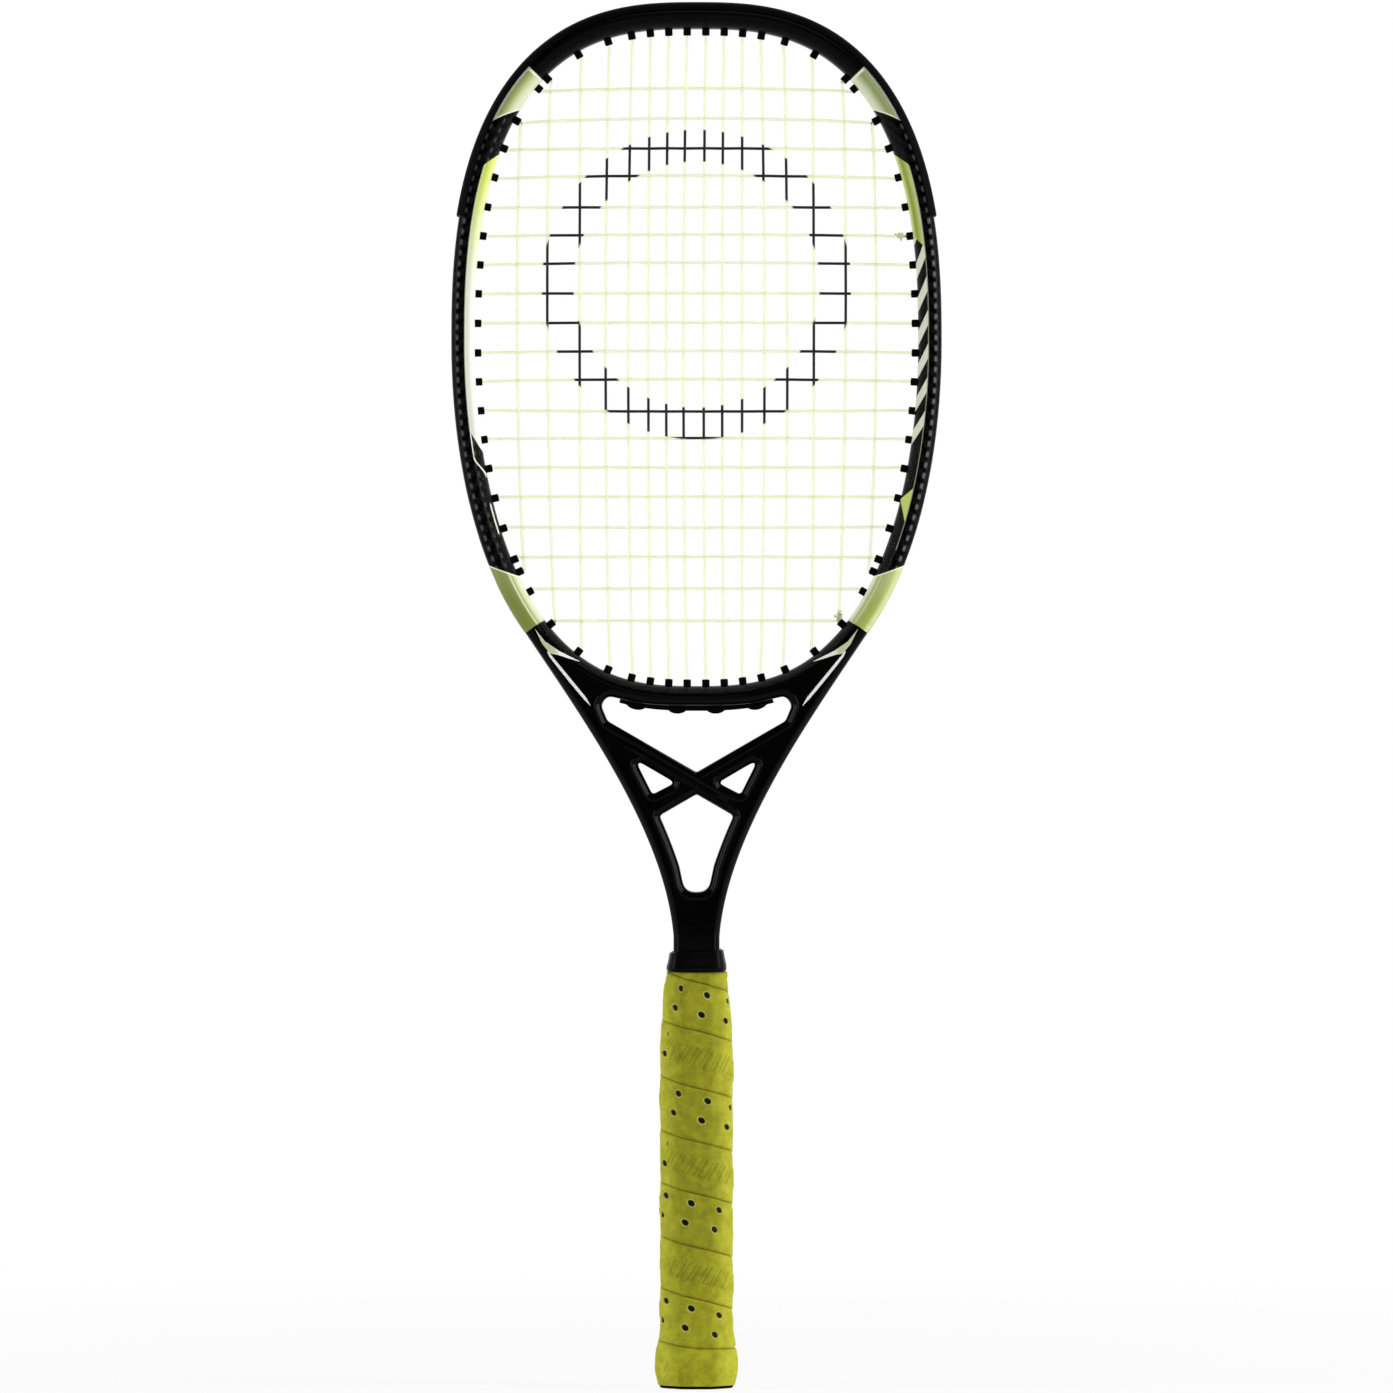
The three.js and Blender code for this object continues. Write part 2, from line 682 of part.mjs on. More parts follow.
// Way along the groove from one hole to the next, without steps that lie too near a hole.
function grooveWay(from, to, y) {
  const [low, high] = [Math.min(from, to), Math.max(from, to)];
  const margin = tightCorner / stepLength;
  const inner = stepsBetween(low, high).slice(1, -1).filter((s) => s - low > margin && high - s > margin);
  const way = [mouth(low, y), ...inner.map((s) => mouth(s, y)), mouth(high, y)];
  return from < to ? way : way.reverse();
}

// Turns round an anchor string, climbing along it; a turn starts on the tail's side.
function knot(start, along, tailSide) {
  const radius = (2 * stringRadius + stringGap) / Math.cos(Math.PI / knotSteps);
  const climb = (2 * stringRadius + stringGap) / knotSteps;
  const across = new THREE.Vector3().crossVectors(along, tailSide);
  return Array.from({ length: Math.round(knotTurns * knotSteps) }, (_, k) => {
    const turn = (2 * Math.PI * k) / knotSteps;
    return start.clone()
      .addScaledVector(along, knotStandoff + k * climb)
      .addScaledVector(tailSide, radius * Math.cos(turn))
      .addScaledVector(across, radius * Math.sin(turn));
  });
}

// The 16 mains as one string, from the tie on the left to the tie on the right.
function makeMainString() {
  const front = new THREE.Vector3(0, -1, 0);
  const tie = (side) => {
    const anchor = bend(side * tieHole, crossLane);
    const inward = new THREE.Vector3(-side, 0, 0);
    return [bend(side * tieHole, mainLane), ...knot(anchor, inward, front)];
  };
  const route = [...tie(-1).reverse(), ...grooveWay(-tieHole, -sharedTop, mainLane)];
  const sides = [-1, 1].flatMap((side) => mainShares.map((_, j) => side * (side < 0 ? mainCount - j : j + 1)));
  let down = true;
  sides.forEach((number, k) => {
    const column = Math.abs(number) - 1;
    const side = Math.sign(number);
    const [top, foot] = [side * mainTops[column], side * mainFeet[column]];
    route.push(bend(down ? top : foot, mainLane), bend(down ? foot : top, mainLane));
    if (k < sides.length - 1) {
      const next = Math.abs(sides[k + 1]) - 1;
      const nextSide = Math.sign(sides[k + 1]);
      const list = down ? mainFeet : mainTops;
      route.push(...grooveWay(side * list[column], nextSide * list[next], mainLane));
    }
    down = !down;
  });
  return [...route, ...grooveWay(sharedTop, tieHole, mainLane), ...tie(1)];
}

// The crosses as one string, from the tie on the outer left main to the one on the right.
function makeCrossString() {
  const back = new THREE.Vector3(0, 1, 0);
  const startAnchor = bend(-startHole, mainLane);
  const start = knot(startAnchor, new THREE.Vector3(0, 0, -1), back).reverse();
  const route = [...start, bend(-startHole, crossLane), ...grooveWay(-startHole, -crossHoles[0], crossLane)];
  crossHoles.forEach((hole, i) => {
    const side = i % 2 === 0 ? 1 : -1;
    route.push(bend(-side * hole, crossLane));
    if (i === crossCount - 1) return;
    route.push(bend(side * hole, crossLane), ...grooveWay(side * hole, side * crossHoles[i + 1], crossLane));
  });
  const endAnchor = bend(sharedFoot, mainLane);
  return [...route, ...knot(endAnchor, new THREE.Vector3(0, 0, 1), back)];
}

// Height-dependent growth of the handle over its plain middle.
function swell(z) {
  const read = (shares, place) => {
    const k = Math.max(1, shares.findIndex(([at]) => at >= place));
    const [[a, u], [b, v]] = [shares[k - 1], shares[k]];
    return THREE.MathUtils.mapLinear(place, a, b, u, v);
  };
  if (z < buttZone) return buttFlare * read(buttShares, Math.max(z, 0) / buttZone);
  const taperFoot = gripTop - taperZone;
  if (z > taperFoot) return -taperDrop * read(taperShares, Math.min((z - taperFoot) / taperZone, 1));
  return 0;
}

// Rounded octagon of 16 points at a height, with given half sizes.
function octagonRing(z, a, b) {
  const mix = (p, q, share) => [p[0] + (q[0] - p[0]) * share, p[1] + (q[1] - p[1]) * share];
  const [sideEnd, faceEnd] = [[a, flatShare * b], [flatShare * a, b]];
  const quarter = [
    mix(sideEnd, [a, 0], cornerShare),
    mix(sideEnd, faceEnd, cornerShare),
    mix(faceEnd, sideEnd, cornerShare),
    mix(faceEnd, [0, b], cornerShare),
  ];
  const upper = [...quarter, ...quarter.slice().reverse().map(([x, y]) => [-x, y])];
  return [...upper, ...upper.slice().reverse().map(([x, y]) => [x, -y])].map(([x, y]) => new THREE.Vector3(x, y, z));
}

const handleRing = (z, grow) => octagonRing(z, gripWidth / 2 + swell(z) + grow, gripDepth / 2 + swell(z) + grow);
const bodyGrow = -tapeThickness - fitGap;

// Rounded rectangle of the core tube, grown by a distance.
function bevelRing(z, grow) {
  return cutRing(z, coreWidth / 2 + grow, coreDepth / 2 + grow, coreCorner, coreCorner);
}

// The neck's section at a height, grown by a distance.
function neckRing(z, grow) {
  const deep = frameHalfDepth * depthShare(z);
  return cutRing(z, neckWidth / 2 + grow, deep + grow, bevelAcross, bevelDeep * depthShare(z));
}

function cutRing(z, a, b, cutA, cutB) {
  const quarter = [[a, b - cutB], [a - cutA, b]];
  const upper = [...quarter, ...quarter.slice().reverse().map(([x, y]) => [-x, y])];
  return [...upper, ...upper.slice().reverse().map(([x, y]) => [x, -y])].map(([x, y]) => new THREE.Vector3(x, y, z));
}

// Solid through rings made at [height, growth] pairs.
const ringLoft = (ring, pairs) => toSolid(skin(pairs.map(([z, grow]) => ring(z, grow))));

const zoneHeights = (from, to) => {
  const marks = [
    ...buttShares.map(([share]) => share * buttZone),
    ...taperShares.map(([share]) => gripTop - taperZone + share * taperZone),
  ];
  return [from, ...marks.filter((z) => z > from + fitGap && z < to - fitGap), to];
};

// A staple's U outline, grown by a clearance, on the right side of the handle
const stapleFace = gripWidth / 2 + buttFlare + bodyGrow - fitGap;
const stapleLeg = (stapleFace - coreWidth / 2) * stapleLegShare;

function makeStaple(side, grow) {
  const half = stapleSpan / 2;
  const [face, legEnd] = [stapleFace + grow, stapleFace - stapleLeg - grow];
  const crown = stapleFace - stapleWire - grow;
  const outline = [
    [face, -half - grow], [face, half + grow], [legEnd, half + grow], [legEnd, half - stapleWire - grow],
    [crown, half - stapleWire - grow], [crown, stapleWire - half + grow],
    [legEnd, stapleWire - half + grow], [legEnd, -half - grow],
  ];
  const ring = (z) => outline.map(([x, y]) => new THREE.Vector3(side * x, y, z));
  const low = stapleHeight - stapleWire / 2 - grow;
  return toSolid(skin([ring(low), ring(low + stapleWire + 2 * grow)]));
}

// The tack at the back of the butt: a flat head with a pin towards the front
function makeTack(grow) {
  const face = gripDepth / 2 + buttFlare - tackSink;
  const profile = [
    [0, face + grow], [tackHeadRadius + grow, face + grow],
    [tackHeadRadius + grow, face - tackHeadHeight - grow], [tackPinRadius + grow, face - tackHeadHeight - grow],
    [tackPinRadius + grow, face - tackHeadHeight - tackPinLength - grow],
    [0, face - tackHeadHeight - tackPinLength - grow],
  ].map(([r, y]) => new THREE.Vector2(r, y));
  const tack = new THREE.LatheGeometry(profile.reverse(), 8);
  tack.translate(0, 0, tackHeight);
  return toSolid(tack);
}

const palletInset = -tapeThickness - 2 * fitGap - capSkirt;

function palletBlank(grow) {
  const foot = (z) => octagonRing(z, gripWidth / 2 + palletInset + grow, gripDepth / 2 + palletInset + grow);
  return toSolid(skin([foot(capFloor + fitGap - grow), foot(capHeight + overrun)]));
}

// One half of the handle shell, in front of or behind the middle plane.
function makePallet(side) {
  const upper = ringLoft(handleRing, zoneHeights(capHeight + fitGap, gripTop).map((z) => [z, bodyGrow]));
  const coreSpace = ringLoft(bevelRing, [[-overrun, fitGap], [coreTop, fitGap]]);
  const half = new THREE.BoxGeometry(2 * gripWidth, gripDepth, 2 * gripTop);
  half.translate(0, side * (gripDepth + fitGap) / 2, gripTop / 2);
  const staples = joinAll([makeStaple(1, fitGap), makeStaple(-1, fitGap)]);
  return palletBlank(0).add(upper).intersect(toSolid(half)).subtract(coreSpace).subtract(staples);
}

function makeCap() {
  const rim = (z, grow) => octagonRing(z, gripWidth / 2 + grow, gripDepth / 2 + grow);
  const edge = [[0, capRimSpread - capChamfer], [capChamfer, capRimSpread], [capRimHeight, capRimSpread]];
  const base = ringLoft(rim, edge);
  const skirt = ringLoft(handleRing, zoneHeights(capFloor / 2, capHeight).map((z) => [z, bodyGrow]));
  const room = palletBlank(fitGap);
  const cuts = joinAll([room, makeStaple(1, fitGap), makeStaple(-1, fitGap), makeTack(fitGap)]);
  return base.add(skirt).subtract(cuts);
}

function makeCore() {
  const foot = capFloor + fitGap;
  const outer = ringLoft(bevelRing, [[foot, 0], [coreTop, 0]]);
  return outer.subtract(ringLoft(bevelRing, [[foot - overrun, -coreWall], [coreTop + overrun, -coreWall]]));
}

// The wound tape: a band that falls to the right across the front, one pitch a turn.
function makeTape() {
  const plain = handleRing(gripTop / 2, 0);
  const around = plain.length;
  const sides = plain.map((p, k) => p.distanceTo(plain[(k + 1) % around]));
  const total = sides.reduce((sum, side) => sum + side);
  const offset = Math.abs(plain[0].y);
  const shares = plain.map((_, k) => (offset + sides.slice(0, k).reduce((sum, side) => sum + side, 0)) / total);
  const turns = Math.ceil((gripTop - tapeFoot) / tapePitch) + 2;
  const half = (tapePitch - seamGap) / 2;
  const rings = [];
  for (let n = 0; n <= turns * around; n += 1) {
    const k = n % around;
    const turn = Math.floor(n / around) - 1;
    const centre = firstSeam + tapePitch * (0.5 + 0.75 - turn - shares[k]);
    const point = (rise, grow) => handleRing(centre + rise, grow)[k];
    const edges = [[-half, -seamDip], [seamEdge - half, 0], [half - seamEdge, 0], [half, -seamDip]];
    const seats = [1, 1 / 3, -1 / 3, -1].map((share) => [share * half, tapeChord - tapeThickness]);
    rings.push([...edges, ...seats].map(([rise, grow]) => point(rise, grow)));
  }
  const slab = new THREE.BoxGeometry(2 * gripWidth, 2 * gripWidth, gripTop - tapeFoot);
  slab.translate(0, 0, (gripTop + tapeFoot) / 2);
  return toSolid(skin(rings)).intersect(toSolid(slab)).subtract(makeTack(fitGap));
}

function makeBand() {
  const foot = collarFoot + fitGap;
  const outer = ringLoft(neckRing, [[foot, fitGap + bandThickness], [foot + bandHeight, fitGap + bandThickness]]);
  return outer.subtract(ringLoft(neckRing, [[foot - overrun, fitGap], [foot + bandHeight + overrun, fitGap]]));
}

function makeCollar() {
  const bandGrow = 2 * fitGap + bandThickness;
  const bandTop = collarFoot + bandHeight + 2 * fitGap;
  const wallAt = (share) => fitGap + collarWall + collarSpread * share;
  const outer = ringLoft(neckRing, collarShares.map(([up, share]) => [collarFoot + up * collarHeight, wallAt(share)]));
  const bore = ringLoft(neckRing, [[collarFoot - overrun, fitGap], [collarFoot + collarHeight + overrun, fitGap]]);
  const bandRoom = ringLoft(neckRing, [[collarFoot - overrun, bandGrow], [bandTop, bandGrow]]);
  return outer.subtract(bore).subtract(bandRoom);
}

const racket = new THREE.Group();

function addPiece(name, shape, material) {
  const geometry = shape.isBufferGeometry ? shape : toGeometry(shape);
  const mesh = new THREE.Mesh(geometry, material);
  mesh.name = name;
  racket.add(mesh);
}

addPiece('head_hoop', makeHoop(), lacquer);
addPiece('throat', makeThroat(), moulding);
addPiece('bumper_guard', makeGuard(), nylon);
addPiece('side_grommets_right', makeStrip(sideFrom, sideTo), nylon);
addPiece('side_grommets_left', makeStrip(-sideTo, -sideFrom), nylon);
addPiece('corner_grommets_right', makeStrip(cornerFrom, cornerTo), nylon);
addPiece('corner_grommets_left', makeStrip(-cornerTo, -cornerFrom), nylon);
addPiece('throat_grommets', makeBridgeStrip(), nylon);
addPiece('main_string', tubeThrough(makeMainString()), gut);
addPiece('cross_string', tubeThrough(makeCrossString()), gut);
addPiece('core_tube', makeCore(), composite);
addPiece('pallet_front', makePallet(-1), foam);
addPiece('pallet_back', makePallet(1), foam);
addPiece('butt_cap', makeCap(), nylon);
addPiece('butt_staple_left', makeStaple(-1, 0), steel);
addPiece('butt_staple_right', makeStaple(1, 0), steel);
addPiece('tape_tack', makeTack(0), steel);
addPiece('grip_tape', makeTape(), tapeSkin);
addPiece('finishing_tape', makeBand(), tapeSkin);
addPiece('grip_collar', makeCollar(), rubber);

export default racket;
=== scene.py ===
"""A crossminton racket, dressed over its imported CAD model. Shapes are worked out in millimetres."""
import math

import bmesh
import bpy
import numpy as np
from mathutils.geometry import tessellate_polygon
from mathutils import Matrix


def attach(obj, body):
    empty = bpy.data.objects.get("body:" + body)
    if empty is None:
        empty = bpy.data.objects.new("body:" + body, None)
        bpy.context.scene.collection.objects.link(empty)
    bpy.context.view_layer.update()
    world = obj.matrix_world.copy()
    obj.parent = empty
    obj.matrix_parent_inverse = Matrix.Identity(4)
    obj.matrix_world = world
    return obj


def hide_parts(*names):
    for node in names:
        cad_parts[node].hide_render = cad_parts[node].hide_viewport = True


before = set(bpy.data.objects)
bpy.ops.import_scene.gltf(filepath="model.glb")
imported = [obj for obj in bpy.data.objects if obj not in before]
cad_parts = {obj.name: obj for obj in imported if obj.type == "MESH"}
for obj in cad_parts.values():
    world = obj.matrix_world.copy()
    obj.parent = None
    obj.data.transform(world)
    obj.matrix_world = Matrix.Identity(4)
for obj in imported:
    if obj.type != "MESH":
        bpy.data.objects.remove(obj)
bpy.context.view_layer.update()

MM = 0.001


# ---- array maths

def joined(*parts):
    """Arrays spread to one shape and set side by side as coordinates."""
    return np.stack(np.broadcast_arrays(*parts), axis=-1)


def unit(vectors):
    return vectors / np.linalg.norm(vectors, axis=-1, keepdims=True)


def right_of(way):
    """Flat directions turned clockwise by a quarter: (x, z) becomes (z, -x)."""
    return np.stack([way[..., 1], -way[..., 0]], axis=-1)


def run_along(path):
    """Length along a path from its first point to each of its points."""
    return np.concatenate([[0.0], np.cumsum(np.linalg.norm(np.diff(path, axis=0), axis=1))])


def smooth(share):
    """3t^2 - 2t^3 of a share held between 0 and 1."""
    t = np.clip(share, 0.0, 1.0)
    return t * t * (3 - 2 * t)


def blend(first, second, share):
    return first * (1 - share) + second * share


def round_turns(count):
    """Angles of the middles of a round section's sides."""
    return (np.arange(count) + 0.5) * 2 * math.pi / count


# ---- shader maths

SOFT_EDGE = 0.1
WHITE = (1.0, 1.0, 1.0, 1.0)


def linear(red, green, blue):
    """sRGB 0-255 to linear light: c/12.92 below 0.04045, else ((c + 0.055)/1.055)^2.4."""
    c = np.array([red, green, blue]) / 255
    return (*np.where(c <= 0.04045, c / 12.92, ((c + 0.055) / 1.055) ** 2.4).tolist(), 1.0)


def math_node(operation, reflected=False):
    """A method that adds a Math node over the value and its operands."""
    def act(self, *others):
        operands = (*others, self) if reflected else (self, *others)
        return self.look.node("Math", dict(enumerate(operands)), operation=operation)
    return act


class Value:
    """A socket of a look; arithmetic on values adds Math nodes."""

    def __init__(self, look, socket):
        self.look, self.socket = look, socket

    __add__, __radd__ = math_node("ADD"), math_node("ADD", True)
    __sub__, __rsub__ = math_node("SUBTRACT"), math_node("SUBTRACT", True)
    __mul__, __rmul__ = math_node("MULTIPLY"), math_node("MULTIPLY", True)
    __truediv__, __mod__, __abs__ = math_node("DIVIDE"), math_node("FLOORED_MODULO"), math_node("ABSOLUTE")
    __gt__, __lt__ = math_node("GREATER_THAN"), math_node("LESS_THAN")
    most, least = math_node("MAXIMUM"), math_node("MINIMUM")
    sine, sqrt, floor = math_node("SINE"), math_node("SQRT"), math_node("FLOOR")

    def step(self, low, high):
        """0 below low, 1 above high, a smooth step between; falls where high is below low."""
        falls = float(high < low)
        return self.look.node("MapRange", {
            "Value": self, "From Min": min(low, high), "From Max": max(low, high),
            "To Min": falls, "To Max": 1.0 - falls}, interpolation_type="SMOOTHSTEP")

    def past(self):
        """0 below nought and 1 above it, with a soft edge."""
        return self.step(-SOFT_EDGE, SOFT_EDGE)

    def band(self, low, high, edge):
        """1 between low and high, with soft edges."""
        return self.step(low - edge, low + edge) * self.step(high + edge, high - edge)


class Look:
    """A material or a world whose nodes are added one by one."""

    def __init__(self, name, library=bpy.data.materials):
        self.owner = library.new(name)
        self.owner.use_nodes = True
        self.tree = self.owner.node_tree
        self.tree.nodes.clear()

    def node(self, kind, feeds=None, output=0, **settings):
        """A node with its settings, fed by links or constants; gives one of its outputs."""
        made = self.tree.nodes.new("ShaderNode" + kind)
        for key, value in settings.items():
            setattr(made, key, value)
        for key, value in (feeds or {}).items():
            if isinstance(value, Value):
                self.tree.links.new(value.socket, made.inputs[key])
            else:
                made.inputs[key].default_value = value
        return Value(self, made.outputs[output]) if len(made.outputs) else None

    def parts(self, vector):
        split = self.node("SeparateXYZ", {"Vector": vector})
        return [Value(self, socket) for socket in split.socket.node.outputs]

    def place(self):
        """Object coordinates in millimetres, as x, y and z."""
        spot = self.node("TexCoord", output="Object")
        return self.parts(self.node("VectorMath", {0: spot, "Scale": 1000.0}, operation="SCALE"))

    def along(self):
        """The piece's own two surface lengths in millimetres."""
        return [part * 1000.0 for part in self.parts(self.node("TexCoord", output="UV"))[:2]]

    def join(self, x, y, z=0.0):
        return self.node("CombineXYZ", {"X": x, "Y": y, "Z": z})

    def noise(self, vector, scale, detail=3.0, rough=0.5):
        return self.node("TexNoise", {"Vector": vector, "Scale": scale, "Detail": detail, "Roughness": rough})

    def mix(self, share, low, high):
        """Colour between low and high by a share; each is a value or an sRGB triple."""
        low, high = (tone if isinstance(tone, Value) else linear(*tone) for tone in (low, high))
        return self.node("Mix", {0: share, 6: low, 7: high}, output=2, data_type="RGBA")

    def layered(self, colour, *layers):
        """A colour with others laid over it in turn, each by its share."""
        for share, tone in layers:
            colour = self.mix(share, colour, tone)
        return colour

    def finish(self, colour, rough, relief, **feeds):
        """Principled surface, its relief as height, distance and strength; a feed's underscores stand for
        spaces."""
        height, distance, strength = relief
        bump = self.node("Bump", {"Height": height, "Distance": distance * MM, "Strength": strength})
        shader = self.node("BsdfPrincipled", {
            "Base Color": colour, "Roughness": rough, "Normal": bump,
            **{key.replace("_", " "): value for key, value in feeds.items()}})
        self.node("OutputMaterial", {"Surface": shader})
        return self.owner


# ---- camera, floor and light

scene = bpy.context.scene
scene.view_settings.view_transform = "Standard"

VIEW_WIDTH = 593.8 * MM
VIEW_MIDDLE = 294.4 * MM
CAMERA_BACK = 4.0
SENSOR = 36.0
LAMP_AIM = np.array([0.0, 0.0, 0.3])
SKY_FILL = 0.28
FLOOR_SIDES = 96
FLOOR_RADIUS = 4.0
FLOOR_HEIGHT = -0.5 * MM


def placed(name, data):
    thing = bpy.data.objects.new(name, data)
    scene.collection.objects.link(thing)
    return thing


eye = placed("camera", bpy.data.cameras.new("camera"))
eye.data.sensor_width = SENSOR
eye.data.lens = SENSOR * CAMERA_BACK / VIEW_WIDTH
eye.location = (0.0, -CAMERA_BACK, VIEW_MIDDLE)
eye.rotation_euler = (math.radians(90), 0.0, 0.0)
scene.camera = eye


def seen_rays(look):
    """1 for rays of the camera, of a mirror and through glass."""
    rays = look.node("LightPath").socket.node.outputs
    return [Value(look, rays["Is %s Ray" % kind]) for kind in ("Camera", "Glossy", "Transmission")]


def make_floor():
    """Pale floor: a disc whose white glow runs from 0.9 beside the racket, where it keeps a shadow, to 1."""
    look = Look("studio_floor")
    x, y, _ = look.place()
    camera, mirror, through = seen_rays(look)
    reach = (x * x + y * y).sqrt().step(150.0, 900.0) * 0.1 + 0.9
    glow = look.node("Emission", {"Color": WHITE, "Strength": 1.0})
    paper = look.node("BsdfDiffuse", {"Color": (0.9, 0.9, 0.9, 1.0)})
    shade = look.node("MixShader", {0: camera.most(mirror).most(through) * reach, 1: paper, 2: glow})
    look.node("OutputMaterial", {"Surface": shade})
    turn = np.arange(FLOOR_SIDES) * 2 * math.pi / FLOOR_SIDES
    ring = joined(FLOOR_RADIUS * np.cos(turn), FLOOR_RADIUS * np.sin(turn), FLOOR_HEIGHT)
    mesh = bpy.data.meshes.new("floor")
    mesh.from_pydata(ring.tolist(), [], [list(range(FLOOR_SIDES))])
    mesh.materials.append(look.owner)
    floor = placed("floor", mesh)


def make_sky():
    """The world: white behind the racket, and to a mirror dark in front of it."""
    look = Look("studio", bpy.data.worlds)
    camera, mirror, through = seen_rays(look)
    behind = look.parts(look.node("TexCoord", output="Generated"))[1].step(-0.1, 0.3)
    glint = mirror * (0.1 + 0.9 * behind) + (1.0 - mirror) * SKY_FILL
    light = look.node("Background", {"Color": WHITE, "Strength": camera.most(through).most(glint)})
    look.node("OutputWorld", {"Surface": light})
    scene.world = look.owner


def soft_lamp(name, place, size, power):
    """An area lamp at a place, facing the racket's middle."""
    lamp = bpy.data.lights.new(name, "AREA")
    lamp.shape, lamp.size, lamp.size_y, lamp.energy = "RECTANGLE", *size, power
    holder = placed(name, lamp)
    holder.location = place
    x, y, z = LAMP_AIM - place
    holder.rotation_euler = (math.atan2(math.hypot(x, y), -z), 0.0, math.atan2(y, x) - math.pi / 2)


make_floor()
make_sky()
soft_lamp("left_box", (-1.9, -0.5, 0.75), (0.6, 1.6), 20)
soft_lamp("right_box", (1.7, -0.5, 0.75), (0.6, 1.6), 26)
soft_lamp("front_box", (0.5, -2.6, 2.3), (1.6, 1.2), 15)


# ---- sizes, in millimetres

RACKET_LENGTH = 590.0
BED_HALF_WIDTH = 94.5
BED_RISE, BED_DROP = 0.2261 * RACKET_LENGTH, 0.2485 * RACKET_LENGTH
BED_TOP = RACKET_LENGTH - 11.1
BED_MIDDLE = BED_TOP - BED_RISE
BED_BOTTOM = BED_MIDDLE - BED_DROP
UPPER_CURVE, LOWER_CURVE = (2.79, 2.52), (2.77, 2.02)
FRAME_WIDTH = 9.9
STRING_RADIUS = 0.625
WEAVE = 0.64
MAIN_SHARES = np.array([0.042, 0.125, 0.208, 0.292, 0.398, 0.531])
CROSS_SHARES = np.array([
    0.091, 0.14, 0.182, 0.226, 0.271, 0.315, 0.359, 0.403, 0.448, 0.493,
    0.537, 0.581, 0.625, 0.669, 0.714, 0.76, 0.807, 0.856, 0.905])
HOLE_STEP = 5.7
LOOP_REACH = 9.475
BARREL_TIP = -2.6
NECK_TOP = 0.326 * RACKET_LENGTH
NECK_HALF = 9.8
GRIP_TOP = 0.3 * RACKET_LENGTH
COLLAR_FOOT = GRIP_TOP + 0.3
BACKWARDS = np.array([0.0, 1.0, 0.0])
SEAM_GAP = 0.3


# ---- shapes on grids

class HeadEdge:
    """String-side edge of the head: x = a |sin t|^(2/p) and z = middle + rise |cos t|^(2/q), read by its
    length from the top, clockwise from the front; a second length goes outwards along its normal."""

    def __init__(self):
        turn = np.linspace(0.0, math.pi, 40001)
        above = np.cos(turn) >= 0
        across, along = np.where(above[:, None], UPPER_CURVE, LOWER_CURVE).T
        x = BED_HALF_WIDTH * np.abs(np.sin(turn)) ** (2 / across)
        z = BED_MIDDLE + np.where(above, BED_RISE, -BED_DROP) * np.abs(np.cos(turn)) ** (2 / along)
        x[[0, -1]] = 0.0
        length = run_along(joined(x, z))
        self.half = float(length[-1])
        self.at = np.linspace(0.0, self.half, 6001)
        self.x, self.z = (np.interp(self.at, length, line) for line in (x, z))
        self.nx, self.nz = -right_of(unit(np.gradient(joined(self.x, self.z), axis=0))).T
        self.nx[[0, -1]] = 0.0

    def spot(self, length, out, depth):
        """Points at signed lengths from the top, distances outwards and depths."""
        length, out, depth = np.broadcast_arrays(length, out, depth)
        turned = (length + self.half) % (2 * self.half) - self.half
        lines = self.x, self.z, self.nx, self.nz
        x, z, nx, nz = (np.interp(np.abs(turned), self.at, line) for line in lines)
        return joined(np.where(turned < 0, -1, 1) * (x + out * nx), depth, z + out * nz)

    def at_height(self, height, out):
        """Length from the top at which the edge, moved outwards, comes down to a height."""
        return np.interp(height, (self.z + out * self.nz)[::-1], self.at[::-1])

    def at_width(self, width, out):
        """Lengths at which the edge, moved outwards, reaches a half width above and below its widest."""
        reach = self.x + out * self.nx
        peak = int(np.argmax(reach))
        return (np.interp(width, reach[:peak], self.at[:peak]),
                np.interp(width, reach[peak:][::-1], self.at[peak:][::-1]))


EDGE = HeadEdge()

# Hole places along the edge, right half
HOLE_READ = BARREL_TIP / 2
CROSS_HOLES = EDGE.at_height(BED_TOP + CROSS_SHARES * (BED_BOTTOM - BED_TOP), HOLE_READ)
MAIN_TOPS, MAIN_FEET = EDGE.at_width(MAIN_SHARES * BED_HALF_WIDTH, HOLE_READ)
MAIN_TOPS = np.append(MAIN_TOPS, [CROSS_HOLES[0] - HOLE_STEP, CROSS_HOLES[1]])
MAIN_FEET = np.append(MAIN_FEET, [CROSS_HOLES[-1], CROSS_HOLES[-3] + HOLE_STEP])
TIE_ROW, LAST_ROW = 5, 18
SHARED_ROWS = [1, TIE_ROW, LAST_ROW]
TIE_HOLE = CROSS_HOLES[TIE_ROW]
SHARED_HOLES = np.append(CROSS_HOLES[SHARED_ROWS], MAIN_TOPS[6])
JOINT = CROSS_HOLES[-1] - 3.2
GUARD_END = CROSS_HOLES[4] + 5.9
CORNER_END = MAIN_FEET[4] + 3.4
BRIDGE_FROM = MAIN_FEET[3] - 2.2


